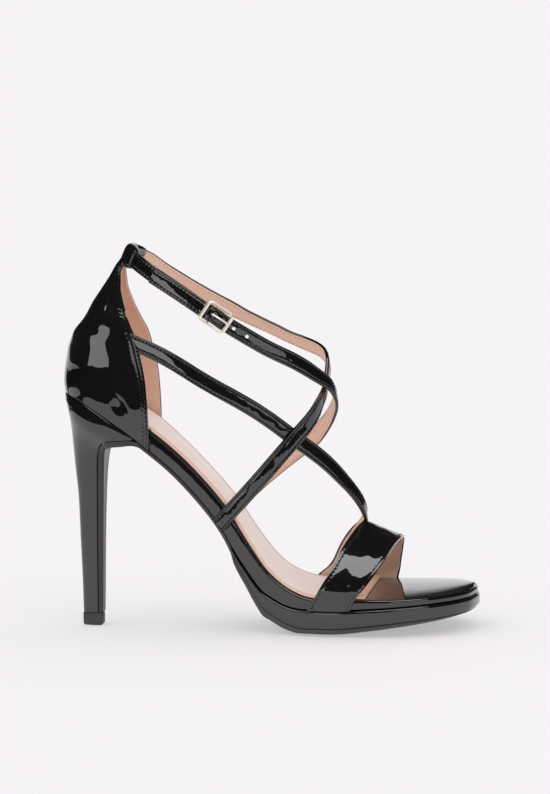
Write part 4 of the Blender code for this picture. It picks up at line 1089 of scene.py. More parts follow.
@dataclass
class Route:
    """A strap's centre line through its rows, and how many degrees its upper edge leans in at each."""

    last: Last
    rows: Array
    leans: Array

    @classmethod
    def from_table(cls, last: Last, table: Table, side: Side, off_board: float) -> Route:
        """Read a route from its table.

        Args:
            last: The last that the strap goes round.
            table: Its rows; one with no value across lies on the board's side.
            side: The side of the board where it starts.
            off_board: How far its middle lies off the board's side there.

        Returns:
            The route.
        """
        points = []
        for along, across, up, _ in table.rows:
            x = float(last.distance(along))
            edge = float(last.full.at(x, side)) + side.value * off_board
            points.append((x, edge if across is None else across * last.ankle_width, up * last.ankle_height))
        return cls(last, np.array(points), table.column("lean"))

    def extended(self, points: Array, leans: Array) -> Route:
        """Return the same route carried on through more points."""
        return Route(self.last, np.concatenate([self.rows, points]), np.concatenate([self.leans, leans]))

    def frames(self, step: float, lift: Callable[[Array], Array] | None = None) -> Frames:
        """Return the frames along the route.

        Args:
            step: About how far apart they are.
            lift: Moves the points, where the strap passes over something.

        Returns:
            The frames, from the board to the strap's end.
        """
        points = spline(self.rows, step)
        marks = arc_lengths(points)
        knots = arc_lengths(self.rows)
        lean = np.radians(np.interp(marks / marks[-1] * knots[-1], knots, self.leans))
        if lift is not None:
            points = lift(points)
        tangents = unit(np.gradient(points, axis=0))
        normals = self.last.outwards(points)
        normals = unit(normals - tangents * np.sum(normals * tangents, axis=1)[:, None])
        wides = np.cross(tangents, normals)
        turn = np.where(wides[:, 2] > 0.0, lean, -lean)[:, None]
        leaned = unit(soften(normals * np.cos(turn) + wides * np.sin(turn), round(0.004 / step)))
        leaned = unit(leaned - tangents * np.sum(leaned * tangents, axis=1)[:, None])
        return Frames(points, tangents, leaned, np.cross(tangents, leaned))


@dataclass
class StrapForm:
    """The section of every strap: patent turned over its edges, and a lining set inside them."""

    width: float = 0.0080
    thickness: float = 0.0020
    lining: float = 0.0006
    lining_inset: float = 0.0005
    stitch_inset: float = 0.0014
    stitch_pitch: float = 0.0021
    channel: float = 0.00018
    crown: float = 0.00012

    def shell(self) -> Array:
        """Return the patent's closed section, as distances across and out."""
        half, out = self.width / 2.0, self.thickness / 2.0
        low = -out + 0.45 * self.lining
        edge = half - self.stitch_inset
        right = [(half - 0.0009, low), (half - 0.0003, low + 0.0001), (half, low + 0.0004),
                 (half, out - 0.00075), (half - 0.0001, out - 0.0004), (half - 0.00035, out - 0.00012),
                 (half - 0.0007, out), (edge + 0.0003, out - 0.00003), (edge + 0.00012, out - 0.6 * self.channel),
                 (edge, out - self.channel), (edge - 0.00012, out - 0.6 * self.channel),
                 (edge - 0.0003, out), (edge - 0.0009, out + 0.5 * self.crown)]
        middle = [(0.0009, out + self.crown), (0.0, out + self.crown)]
        left = [(-a, b) for a, b in (right + middle[:1])[::-1]]
        return np.array(right + middle + left)

    def inside(self) -> Array:
        """Return the lining's closed section."""
        half, out = self.width / 2.0 - self.lining_inset, -self.thickness / 2.0
        top = out + self.lining
        return np.array([(-half, top), (half, top), (half, out + 0.0002), (half - 0.0002, out), (0.5 * half, out),
                         (0.0, out), (-0.5 * half, out), (0.0002 - half, out), (-half, out + 0.0002)])


STRAP = StrapForm()


def pucker(lengths: Array, inset: Array, pitch: float = STRAP.stitch_pitch, depth: float = 0.00020,
           reach: float = 0.00035) -> Array:
    """Return how far a seam pulls the patent down, by the distance along it and to its side."""
    hole = 0.5 + 0.5 * np.cos(2.0 * math.pi * lengths / pitch)
    return -depth * (0.25 + 0.75 * hole ** 2) * np.exp(-(inset / reach) ** 2)


@dataclass
class StitchRow:
    """A row of lock stitches: short threads of one length, half sunk in the leather."""

    radius: float = 0.00022
    fill: float = 0.70
    pitch: float = STRAP.stitch_pitch
    flatness: float = 0.9
    proud: float = 0.25
    gathered: int = 16

    def __post_init__(self) -> None:
        """Start an empty row."""
        self.bm, self.length = bmesh.new(), bmesh.new()

    def run(self, line: Array, normals: Array) -> None:
        """Sew along a line.

        Args:
            line: Points on the leather.
            normals: The direction out of it at each.
        """
        lengths = arc_lengths(line)
        for k in range(int(lengths[-1] / self.pitch)):
            middle = (k + 0.5) * self.pitch
            ends = (middle - 0.5 * self.fill * self.pitch, middle, middle + 0.5 * self.fill * self.pitch)
            start, centre, end = (np.array([np.interp(s, lengths, line[:, a]) for a in range(3)]) for s in ends)
            out = unit(np.array([np.interp(middle, lengths, normals[:, a]) for a in range(3)]))
            self.stitch(start, centre, end, out)
            if k % self.gathered == self.gathered - 1:
                self.gather()
        self.gather()

    def gather(self) -> None:
        """Add the length of thread sewn last to the rest."""
        mesh = bpy.data.meshes.new("thread_length")
        self.length.to_mesh(mesh)
        self.length.clear()
        self.bm.from_mesh(mesh)
        bpy.data.meshes.remove(mesh)

    def stitch(self, start: Array, centre: Array, end: Array, out: Array) -> None:
        """Lay one thread, proud of the leather in its middle.

        Args:
            start: Where it comes out of the leather.
            centre: The point of the leather under its middle.
            end: Where it goes back in.
            out: The direction out of the leather.
        """
        along = Vector(end - start)
        length = along.length
        along.normalize()
        up = Vector(out)
        across = along.cross(up).normalized()
        up = across.cross(along)
        turn = Matrix((along, across, up)).transposed().to_4x4()
        size = Matrix.Diagonal((length / 2.0, self.radius, self.radius * self.flatness, 1.0))
        place = Matrix.Translation(Vector(centre) + up * self.radius * self.proud)
        bmesh.ops.create_uvsphere(self.length, u_segments=6, v_segments=6, radius=1.0,
                                  matrix=place @ turn @ size @ Matrix.Rotation(math.pi / 2.0, 4, "Y"))

    def piece(self, name: str, finish: Finish) -> Piece:
        """Return all that was sewn as one piece."""
        self.length.free()
        return Piece(name, self.bm, finish, sharp_deg=180.0)


@dataclass
class Straps:
    """The ankle strap in its two halves, the instep strap, and what is sewn on them."""

    last: Last
    step: float = 0.00052
    side_clearance: float = 0.0006
    lap: float = 0.0004
    slip: float = 0.0003
    bar_radius: float = 0.0006
    hump: float = 0.0070
    coarse: float = 0.0052
    hole_radius: float = 0.0009
    holes: tuple[float, ...] = (0.0, 0.0131, 0.0207)
    broad_dents: tuple[float, float] = (0.00012, 0.016)
    fine_dents: tuple[float, float] = (0.00004, 0.008)
    first_row: float = 0.0026
    end_rows: tuple[float, ...] = (0.0016, 0.0210)

    def __post_init__(self) -> None:
        """Lay out the three routes and the place of the buckle."""
        off = self.side_clearance + STRAP.thickness / 2.0
        billet = Route.from_table(self.last, BILLET_ROUTE, Side.MEDIAL, off)
        self.over_carrier = STRAP.thickness - self.lap
        self.bar_out = STRAP.thickness / 2.0 + self.last.gap + self.bar_radius
        self.billet_out = self.bar_out + self.bar_radius + self.last.gap + STRAP.thickness / 2.0
        flat = billet.frames(self.step)
        index = flat.nearest(billet.rows[BUCKLE_ROW])
        coarse = billet.frames(self.coarse)
        seat = coarse.nearest(billet.rows[BUCKLE_ROW])
        self.seat_point, self.seat_tangent = coarse.points[seat], flat.tangents[index]
        self.seat_normal, self.seat_wide = flat.normals[index], flat.wides[index]
        self.seat_carrier = self.seat_point - self.seat_normal * self.over_carrier
        self.billet = billet.frames(self.step, self.raised)
        self.carrier = self.carrier_route(billet, coarse, seat).frames(self.step)
        self.instep = Route.from_table(self.last, INSTEP_ROUTE, Side.LATERAL, off).frames(self.step)

    def raised(self, points: Array) -> Array:
        """Return the billet's points, raised where it passes over the buckle's centre bar."""
        away = np.linalg.norm(points - self.seat_point, axis=1)
        rise = 0.5 * (1.0 + np.cos(math.pi * np.minimum(away / self.hump, 1.0)))
        return points + self.seat_normal * ((self.billet_out - self.over_carrier) * rise)[:, None]

    def carrier_route(self, billet: Route, coarse: Frames, seat: int) -> Route:
        """Lead the carrier round the ankle and under the billet's free end.

        Args:
            billet: The billet's route.
            coarse: Its frames, far apart.
            seat: Which of them the buckle sits on.

        Returns:
            The carrier's route.
        """
        marks = arc_lengths(coarse.points)
        knots = arc_lengths(billet.rows)
        leans = np.interp(marks / marks[-1] * knots[-1], knots, billet.leans)
        own = Route.from_table(self.last, CARRIER_ROUTE, Side.LATERAL, self.side_clearance + STRAP.thickness / 2.0)
        shared, shared_leans = [], []
        for i in range(len(coarse.points) - 1, seat, -2):
            point = coarse.points[i] - coarse.normals[i] * self.over_carrier + coarse.wides[i] * self.slip
            if np.linalg.norm(point - self.seat_carrier) > 0.8 * self.coarse:
                shared.append(point)
                shared_leans.append(leans[i])
        shared.append(self.seat_carrier - self.seat_tangent * self.bar_radius + self.seat_wide * self.slip)
        shared_leans.append(leans[seat])
        return own.extended(np.array(shared), np.array(shared_leans))

    def build(self) -> list[Piece]:
        """Return the straps with their linings and stitches."""
        pieces = []
        for name, frames in (("billet", self.billet), ("carrier", self.carrier), ("instep_strap", self.instep)):
            pieces += self.strap(name, frames)
        pieces += self.sewing()
        return pieces

    def strap(self, name: str, frames: Frames) -> list[Piece]:
        """Make one strap: its patent shell, gently uneven, and its lining.

        Args:
            name: What its pieces are called after.
            frames: The frames along it.

        Returns:
            The two pieces.
        """
        profile = STRAP.shell()
        shell = frames.section(profile)
        wave = dents(shell, self.broad_dents, self.fine_dents)
        seam = np.abs(profile[:, 0]) - (STRAP.width / 2.0 - STRAP.stitch_inset)
        pull = pucker(frames.lengths[:, None], seam[None, :]) * (profile[:, 1] > 0.0)
        shell = shell + frames.normals[:, None] * (wave + pull)[..., None]
        patent, lining = lay_grid(shell, closed=True), lay_grid(frames.section(STRAP.inside()), closed=True)
        if name == "billet":
            patent, lining = punch(patent, self.drills()), punch(lining, self.drills())
        replaced = ("upper",) if name == "carrier" else ()
        return [Piece(name + "_patent", patent, STRAP_PATENT, "patent_leather", replaced),
                Piece(name + "_lining", lining, LINING)]

    def drills(self) -> BMesh:
        """Return the punch's pins: the hole that the buckle's pin is in, and the free ones ahead of it."""
        bm = bmesh.new()
        seat = self.billet.lengths[self.billet.nearest(self.seat_point)]
        for ahead in self.holes:
            point, tangent, normal, _ = self.billet.at(seat - ahead)
            turn = Vector(normal).to_track_quat("Z", "X").to_matrix().to_4x4()
            bmesh.ops.create_cone(bm, cap_ends=True, segments=24, radius1=self.hole_radius,
                                  radius2=self.hole_radius, depth=4.0 * STRAP.thickness,
                                  matrix=Matrix.Translation(point) @ turn)
        return bm

    def sewing(self) -> list[Piece]:
        """Return the straps' edge stitches, inside and out, with a row across each free end."""
        row, bobbin = StitchRow(), StitchRow(radius=0.00016, fill=0.5)
        end = self.billet.lengths[-1]
        edge = STRAP.width / 2.0 - STRAP.stitch_inset
        out = STRAP.thickness / 2.0 - STRAP.channel * 0.6
        for frames in (self.billet, self.carrier, self.instep):
            for side in (-1.0, 1.0):
                row.run(frames.points + frames.wides * side * edge + frames.normals * out, frames.normals)
                bobbin.run(frames.points + frames.wides * side * edge - frames.normals * STRAP.thickness / 2.0,
                           -frames.normals)
        across = np.linspace(-edge, edge, 9)
        for frames, length in ((self.billet, self.first_row), (self.carrier, self.first_row),
                               *((self.billet, end - before) for before in self.end_rows)):
            point, _, normal, wide = frames.at(length)
            line = point + wide * across[:, None] + normal * (out + CEMENT)
            row.run(line, np.repeat(normal[None], len(across), 0))
        return [row.piece("strap_stitches", THREAD), bobbin.piece("strap_bobbin_stitches", BOBBIN)]


# Counter

COUNTER_SHAPE = Table(("back", "edge", "back_up", "edge_up", "half"), (
    (0.000, 1.000, 0.050, 0.000, 1.010),
    (-0.007, 1.007, 0.130, 0.150, 1.045),
    (0.002, 1.000, 0.233, 0.313, 1.065),
    (0.027, 0.978, 0.351, 0.513, 1.058),
    (0.089, 0.924, 0.471, 0.698, 1.020),
    (0.186, 0.870, 0.570, 0.834, 0.955),
    (0.271, 0.799, 0.652, 0.935, 0.860),
    (0.383, 0.732, 0.770, 1.053, 0.690),
    (0.494, 0.678, 0.886, 1.194, 0.520),
    (0.590, 0.672, 0.990, 1.300, 0.400),
    (0.645, 0.720, 1.040, 1.360, 0.360),
))


@dataclass
class Counter:
    """The heel counter: patent outside, leather inside, closed by a folded loop at the back."""

    last: Last
    straps: Straps
    rows: int = 190
    columns: int = 72
    edge_columns_mm: tuple[float, ...] = (0.0, 0.4, 0.8, 1.1, 1.4, 1.7, 2.1, 2.6, 3.1, 3.4, 3.7, 4.2, 4.8)
    middle_share: float = 0.8
    seams: tuple[float, ...] = (0.0014, 0.0034)
    seam_depth: float = 0.00022
    stitch_sunk: float = 0.0001
    broad_dents: tuple[float, float] = (0.00034, 0.030)
    fine_dents: tuple[float, float] = (0.00015, 0.013)
    lining_margin: float = 0.006
    loop_length: float = 0.0215
    loop_casing: float = 0.0020
    loop_snug: float = 0.0006
    loop_soft: float = 0.0005
    loop_roundness: float = 0.6

    def surface(self, depth: float, margin: float = 0.0) -> Array:
        """Return a grid over the counter.

        Args:
            depth: How far inside the outer face.
            margin: How far the grid stays from the front and lower edges, as a share.

        Returns:
            Rows from the foot up, each from the lateral edge round the back.
        """
        last = self.last
        t = np.linspace(margin, 1.0 - 6.0 * margin, self.rows)[:, None]
        near = np.array(self.edge_columns_mm) * MM / (0.5 * math.pi * last.seat_length)
        even = np.linspace(-1.0 + near[-1], 1.0 - near[-1], self.columns)[1:-1]
        turn = np.concatenate([near - 1.0, even, 1.0 - near[::-1]])[None, :] * (1.0 - margin)
        along = 1.0 - np.cos(np.abs(turn) * math.pi / 2.0)
        seat_x = last.seat_length * along
        across = np.where(turn < 0.0, last.full.at(seat_x, Side.LATERAL), last.full.at(seat_x, Side.MEDIAL))
        across = across / (last.seat_width / 2.0)
        value = {name: COUNTER_SHAPE.steps(name) for name in COUNTER_SHAPE.names}
        near, far = np.maximum(t - 0.02, 0.0), np.minimum(t + 0.02, 1.0)
        run = (value["back"](far) - value["back"](near)) * last.seat_length
        rise = (value["back_up"](far) - value["back_up"](near)) * last.counter_height
        back = value["back"](t) * last.seat_length + depth * np.hypot(run, rise) / rise
        half = value["half"](t) * last.seat_width / 2.0 - depth
        x = back + (value["edge"](t) * last.seat_length - back) * along
        low_back, low_edge = last.board_low(np.array(0.0)), last.board_low(np.array(last.seat_length))
        fall = (last.board_low(seat_x) - low_back) / (low_edge - low_back)
        back_z = low_back + value["back_up"](t) * last.counter_height
        edge_z = low_edge + value["edge_up"](t) * last.counter_height
        return np.stack([x, across * half, back_z + (edge_z - back_z) * fall], axis=-1)

    def outwards(self, point: Vector) -> Vector:
        """Return the direction away from the middle of the heel at the point's height."""
        return Vector((point.x - self.middle_share * self.last.seat_length, point.y, 0.0))

    def build(self) -> list[Piece]:
        """Return the counter's pieces."""
        return [self.shell(), self.inside(), self.sewing(), self.loop()]

    def shell(self) -> Piece:
        """Return the patent shell, with its seams pressed in and its soft dents."""
        grid = self.surface(0.0)
        quiet = calm(from_edges(grid), start=0.002, fade=0.006)
        relief = seam_relief(grid, self.seams, self.seam_depth)
        relief = relief + quiet * dents(grid, self.broad_dents, self.fine_dents)
        bm = lay_grid(grid + self.normals(grid) * relief[..., None])
        give_wall(bm, self.outwards, UPPER_WALL - UPPER_LINING - CEMENT, 0.0005, 3)
        return Piece("counter_patent", bm, PATENT, "patent_leather")

    def normals(self, grid: Array) -> Array:
        """Return the outward direction at each point of a grid over the counter."""
        normal = unit(np.cross(np.gradient(grid, axis=0), np.gradient(grid, axis=1)))
        middle = grid - np.array([self.middle_share * self.last.seat_length, 0.0, 0.0])
        looking = np.sum(normal[..., :2] * middle[..., :2], axis=-1)
        return normal * np.where(np.median(looking) < 0.0, -1.0, 1.0)

    def inside(self) -> Piece:
        """Return the leather lining, cut just inside the patent's edge."""
        bm = lay_grid(self.surface(UPPER_WALL - UPPER_LINING, self.lining_margin))
        give_wall(bm, self.outwards, UPPER_LINING, 0.0002, 2)
        return Piece("counter_lining", bm, LINING)

    def sewing(self) -> Piece:
        """Return the double row of stitches up each front edge."""
        grid = self.surface(0.0)
        row = StitchRow()
        for line, out, _ in follow_seams(grid, self.normals(grid), self.seams):
            row.run(line - out * self.stitch_sunk, out)
        return row.piece("counter_stitches", THREAD)

    def loop(self) -> Piece:
        """Return the tab folded over the ankle strap at the back."""
        frames = self.straps.carrier
        rows = Route.from_table(self.last, CARRIER_ROUTE, Side.LATERAL, 0.0).rows
        middle = frames.lengths[frames.nearest(rows[LOOP_ROW])]
        angle = np.linspace(0.0, 2.0 * math.pi, 40, endpoint=False)
        across = np.copysign(np.abs(np.cos(angle)) ** self.loop_roundness, np.cos(angle))
        out = np.copysign(np.abs(np.sin(angle)) ** self.loop_roundness, np.sin(angle))
        rings = []
        ends = np.radians(np.linspace(0.0, 90.0, 7))
        soft, snug = self.loop_soft, self.loop_snug
        lengths = [(s, 0.0) for s in np.linspace(-0.38, 0.38, 20) * self.loop_length]
        for end in (-1.0, 1.0):
            lengths += [(end * (self.loop_length / 2.0 - soft * (1 - math.sin(a))), soft * (1 - math.cos(a)))
                        for a in ends]
        for along, tuck in sorted(lengths):
            point, _, normal, cross = frames.at(middle + along)
            swell = 1.0 - abs(2.0 * along / self.loop_length) ** 2.5
            wide = STRAP.width / 2.0 + snug + (self.loop_casing - snug) * swell
            deep = STRAP.thickness / 2.0 + snug + (1.3 * self.loop_casing - snug) * swell
            rings.append(point + cross * (across * (wide - tuck))[:, None] + normal * (out * (deep - tuck))[:, None])
        return Piece("back_loop_patent", lay_grid(np.array(rings), closed=True), PATENT, "patent_leather")


def arc_from(grid: Array, flip: bool) -> Array:
    """Return each point's distance along its row from the row's start, or from its end."""
    line = grid[:, ::-1] if flip else grid
    steps = np.linalg.norm(np.diff(line, axis=1), axis=2)
    lengths = np.concatenate([np.zeros((len(grid), 1)), np.cumsum(steps, axis=1)], axis=1)
    return lengths[:, ::-1] if flip else lengths


def from_edges(grid: Array) -> Array:
    """Return each point's distance along its row from the row's nearer end."""
    return np.minimum(arc_from(grid, False), arc_from(grid, True))


def follow_seams(grid: Array, normal: Array, insets: Sequence[float]) -> Iterator[tuple[Array, Array, Array]]:
    """Follow the seams that run along both edges of a grid, across its rows.

    Args:
        grid: The leather's face.
        normal: The direction out of it at each point.
        insets: How far in from each edge the seams are.

    Yields:
        A seam's line, the normals along it, and each point's distance from it.
    """
    for flip in (False, True):
        lengths = arc_from(grid, flip)
        order = slice(None, None, -1) if flip else slice(None)
        for inset in insets:
            line, out = (np.array([[np.interp(inset, marks[order], row[order, a]) for a in range(3)]
                                   for row, marks in zip(values, lengths)]) for values in (grid, normal))
            yield line, unit(out), lengths - inset


def seam_relief(grid: Array, insets: Sequence[float], depth: float) -> Array:
    """Return how far the seams along both edges of a grid pull its points in."""
    return sum(pucker(arc_lengths(line)[:, None], beyond, depth=depth)
               for line, _, beyond in follow_seams(grid, grid, insets))


# Vamp band

BAND_SHAPE = (
    (0.6065, None, -0.155, 0.7100, None, -0.155),
    (0.6215, None, 0.000, 0.7240, None, 0.020),
    (0.6330, -0.500, 0.120, 0.7390, -0.513, 0.130),
    (0.6500, -0.482, 0.270, 0.7560, -0.502, 0.260),
    (0.6680, -0.430, 0.450, 0.7740, -0.465, 0.410),
    (0.6860, -0.335, 0.680, 0.7950, -0.385, 0.590),
    (0.7010, -0.215, 0.830, 0.8080, -0.265, 0.710),
    (0.7130, -0.095, 0.930, 0.8170, -0.130, 0.765),
    (0.7215, 0.020, 0.980, 0.8205, 0.010, 0.765),
    (0.7160, 0.130, 0.965, 0.8180, 0.150, 0.700),
    (0.6940, 0.240, 0.860, 0.8120, 0.280, 0.590),
    (0.6675, 0.340, 0.680, 0.8050, 0.385, 0.430),
    (0.6400, 0.430, 0.400, 0.7980, 0.470, 0.260),
    (0.6170, 0.480, 0.170, 0.7930, 0.525, 0.120),
    (0.5930, None, 0.020, 0.7890, None, 0.020),
    (0.5800, None, -0.155, 0.7850, None, -0.110),
)


@dataclass
class VampBand:
    """The broad band over the toes, patent outside and leather inside."""

    last: Last
    height: float = 0.0343
    columns: int = 26
    along: int = 230
    edge_columns: tuple[float, ...] = (0.0, 0.0005, 0.0010, 0.0013, 0.0016, 0.0019, 0.0025, 0.0035)
    seams: tuple[float, ...] = (0.0016,)
    seam_depth: float = 0.00026
    stitch_sunk: float = 0.00012
    broad_dents: tuple[float, float] = (0.00032, 0.021)
    fine_dents: tuple[float, float] = (0.00012, 0.009)
    lining_margin: float = 0.024
    rise_share: float = 0.35

    def lines(self) -> Array:
        """Return the middle surface as lines over the foot, from the back edge to the front."""
        last = self.last
        lines = []
        for share in np.linspace(0.0, 1.0, 5):
            line = []
            for i, (back, back_across, back_up, front, front_across, front_up) in enumerate(BAND_SHAPE):
                x = float(last.distance(back + (front - back) * share))
                z = float(last.top(x)) + (back_up + (front_up - back_up) * share) * self.height
                if back_across is None:
                    side = Side.LATERAL if i < len(BAND_SHAPE) / 2 else Side.MEDIAL
                    y = float(last.full.at(x, side)) + side.value * (last.gap + UPPER_WALL / 2.0)
                    if i in (0, len(BAND_SHAPE) - 1):
                        z = float(last.board_low(x))
                else:
                    y = (back_across + (front_across - back_across) * share) * last.ball_width
                line.append((x, y, z))
            lines.append(resample(spline(np.array(line), 0.0008), self.along))
        return np.array(lines)

    def surface(self, out: float, margin: float = 0.0) -> tuple[Array, Array]:
        """Lay a fine grid over the band.

        Args:
            out: How far out of the middle surface.
            margin: How far the grid stays from the edges, as a share.

        Returns:
            The grid, in rows from the back edge to the front, and its normals.
        """
        lines = self.lines()
        share = np.linspace(0.0, 1.0, 5)
        width = float(np.median(np.linalg.norm(lines[-1] - lines[0], axis=1)))
        near = np.array(self.edge_columns) / width
        even = np.linspace(near[-1], 1.0 - near[-1], self.columns)[1:-1]
        fine = np.concatenate([near, even, 1.0 - near[::-1]])
        fine = margin + fine * (1.0 - 2.0 * margin)
        grid = np.array([[Curve(share, lines[:, j, a])(fine) for a in range(3)] for j in range(lines.shape[1])])
        grid = grid.transpose(2, 0, 1)
        normal = unit(np.cross(np.gradient(grid, axis=0), np.gradient(grid, axis=1)))
        if normal[len(fine) // 2, self.along // 2, 2] < 0.0:
            normal = -normal
        return grid + normal * out, normal

    def outwards(self, point: Vector) -> Vector:
        """Return the direction out of the toes at a point of the band."""
        return Vector((0.0, point.y, self.rise_share * self.last.ball_width))

    def build(self) -> list[Piece]:
        """Return the band's pieces."""
        return [self.shell(), self.inside(), self.sewing()]

    def shell(self) -> Piece:
        """Return the patent, drawn over the toes in soft creases."""
        grid, normal = self.surface(UPPER_WALL / 2.0)
        over = grid.transpose(1, 0, 2)
        span = np.linspace(0.0, 1.0, len(over))[None, :]
        quiet = (calm(from_edges(over).T, start=0.001, fade=0.005)
                 * calm(np.minimum(span, 1.0 - span), start=0.048, fade=0.16))
        relief = seam_relief(over, self.seams, self.seam_depth).T
        relief = relief + quiet * dents(grid, self.broad_dents, self.fine_dents)
        bm = lay_grid(grid + normal * relief[..., None])
        give_wall(bm, self.outwards, UPPER_WALL - UPPER_LINING - CEMENT, 0.0005, 3)
        return Piece("vamp_band_patent", bm, PATENT, "patent_leather")

    def inside(self) -> Piece:
        """Return the lining, cut just inside the patent's edges."""
        grid, _ = self.surface(-UPPER_WALL / 2.0 + UPPER_LINING, self.lining_margin)
        bm = lay_grid(grid)
        give_wall(bm, self.outwards, UPPER_LINING, 0.0002, 2)
        return Piece("vamp_band_lining", bm, LINING)

    def sewing(self) -> Piece:
        """Return the stitches along both edges."""
        grid, normal = (values.transpose(1, 0, 2) for values in self.surface(UPPER_WALL / 2.0))
        row = StitchRow()
        for line, out, _ in follow_seams(grid, normal, self.seams):
            row.run(line - out * self.stitch_sunk, out)
        return row.piece("vamp_band_stitches", THREAD)


# Buckle

@dataclass
class Buckle:
    """The small frame buckle on the ankle strap, fastened, with its pin through the billet."""

    straps: Straps
    length: float = 0.0152
    bar: float = 0.0015
    corner: float = 0.0022
    rise: float = 0.0012
    room: float = 0.0007
    ahead: float = 0.0026
    rail_share: float = 0.85
    end_share: float = 1.25
    pin_radius: float = 0.0005
    pin_overhang: float = 0.0010

    def place(self, points: Array) -> Array:
        """Return points given along, across and out of the carrier under the centre bar."""
        straps = self.straps
        axes = np.array([straps.seat_tangent, straps.seat_wide, straps.seat_normal])
        return straps.seat_carrier + points @ axes

    def tube(self, path: Array, radius: float | Array, level: Array, sides: int,
             looped: bool = False) -> BMesh:
        """Sweep a round bar along a path.

        Args:
            path: Its points, along, across and out of the carrier.
            radius: Its radius, or one for each point.
            level: A direction that its sections keep to.
            sides: How many faces go round it.
            looped: Whether it joins up with its start.

        Returns:
            The bar's mesh.
        """
        points = self.place(path)
        if looped:
            tangents = unit(np.roll(points, -1, axis=0) - np.roll(points, 1, axis=0))
        else:
            tangents = unit(np.gradient(points, axis=0))
        first = np.repeat(unit(level)[None], len(points), axis=0)
        first = unit(first - tangents * np.sum(first * tangents, axis=1)[:, None])
        second = np.cross(tangents, first)
        angle = np.linspace(0.0, 2.0 * math.pi, sides, endpoint=False)
        thick = np.broadcast_to(np.asarray(radius, float), len(points))[:, None, None]
        rings = (points[:, None] + first[:, None] * np.cos(angle)[None, :, None] * thick
                 + second[:, None] * np.sin(angle)[None, :, None] * thick)
        return lay_grid(rings, closed=True, looped=looped)

    def __post_init__(self) -> None:
        """Work out how far the frame's rails, ends and height are from the middle of the strap."""
        straps = self.straps
        self.rail = STRAP.width / 2.0 + self.room + self.bar / 2.0
        self.end = self.length / 2.0 - self.bar / 2.0
        self.out = straps.over_carrier + STRAP.thickness / 2.0 + self.rise + straps.last.gap + self.bar / 2.0

    def build(self) -> list[Piece]:
        """Return the frame, its centre bar and the pin."""
        return [self.frame(), self.centre_bar(), self.pin()]

    def frame(self) -> Piece:
        """Return the rounded rectangular frame."""
        rail, end, path = self.rail, self.end, []
        for along, across, start in ((1, 1, 0), (-1, 1, 90), (-1, -1, 180), (1, -1, 270)):
            for angle in np.radians(start + np.linspace(0.0, 90.0, 9)):
                path.append((along * (end - self.corner) + self.corner * math.cos(angle) - self.ahead,
                             across * (rail - self.corner) + self.corner * math.sin(angle), self.out))
        path = np.array(path)
        swell = np.clip((np.abs(path[:, 0] + self.ahead) - (end - self.corner)) / self.corner, 0.0, 1.0)
        radius = self.bar / 2.0 * (self.rail_share + (self.end_share - self.rail_share) * swell)
        bm = self.tube(path, radius, self.straps.seat_normal, 20, looped=True)
        return Piece("buckle_frame_cast", bm, METAL, "buckle_metal", ("buckle_frame",))

    def centre_bar(self) -> Piece:
        """Return the bar that the carrier's end and the pin turn on."""
        rail, low, turn = self.rail, self.straps.bar_out, 2.0 * self.straps.bar_radius
        half = [(rail, self.out), (rail, low + turn), (rail - 0.12 * turn, low + 0.55 * turn),
                (rail - 0.3 * turn, low + 0.3 * turn), (rail - 0.55 * turn, low + 0.12 * turn), (rail - turn, low)]
        path = [(0.0, -y, z) for y, z in half] + [(0.0, y, z) for y, z in half[::-1]]
        bm = self.tube(np.array(path), self.straps.bar_radius, self.straps.seat_tangent, 12)
        return Piece("buckle_centre_bar", bm, METAL, "buckle_metal")

    def pin(self) -> Piece:
        """Return the pin, up through the billet's hole and on to the frame's end bar."""
        straps, radius, end = self.straps, self.pin_radius, self.end + self.ahead
        gap = straps.last.gap
        over = straps.billet_out + STRAP.thickness / 2.0 + gap + radius
        start = straps.bar_out + straps.bar_radius + gap + radius * 0.2
        rest = straps.over_carrier + STRAP.thickness / 2.0 + self.rise + 2.0 * gap + self.bar + radius
        path = spline(np.array([(0.0, 0.0, start), (0.0, 0.0, over - 2.0 * radius),
                                (-1.2 * radius, 0.0, over - 0.3 * radius), (-3.2 * radius, 0.0, over + 0.4 * radius),
                                (-0.5 * end, 0.0, max(over, rest)), (-end - self.pin_overhang, 0.0, rest)]), 0.0004)
        bm = self.tube(path, radius, straps.seat_wide, 12)
        return Piece("buckle_pin_drawn", bm, METAL, "buckle_metal", ("buckle_pin",))


# Finishes

def srgb(code: str) -> tuple[float, float, float, float]:
    """Return a hex sRGB colour as linear red, green, blue and alpha."""
    values = [int(code[i:i + 2], 16) / 255.0 for i in (1, 3, 5)]
    linear = [v / 12.92 if v <= 0.04045 else ((v + 0.055) / 1.055) ** 2.4 for v in values]
    return (*linear, 1.0)


def add_node(tree: NodeTree, kind: str, settings: dict[str, object] | None = None,
             links: dict[str, object] | None = None) -> Node:
    """Add a node with its settings and its sockets' values or links.

    Args:
        tree: The node tree that it goes in.
        kind: The node's type.
        settings: Values of its own properties.
        links: A value, or another node's output, for each named input.

    Returns:
        The new node.
    """
    node = tree.nodes.new(kind)
    for name, value in (settings or {}).items():
        setattr(node, name, value)
    for name, value in (links or {}).items():
        socket = node.inputs[name]
        if isinstance(value, NodeSocket):
            tree.links.new(value, socket)
        else:
            socket.default_value = value
    return node


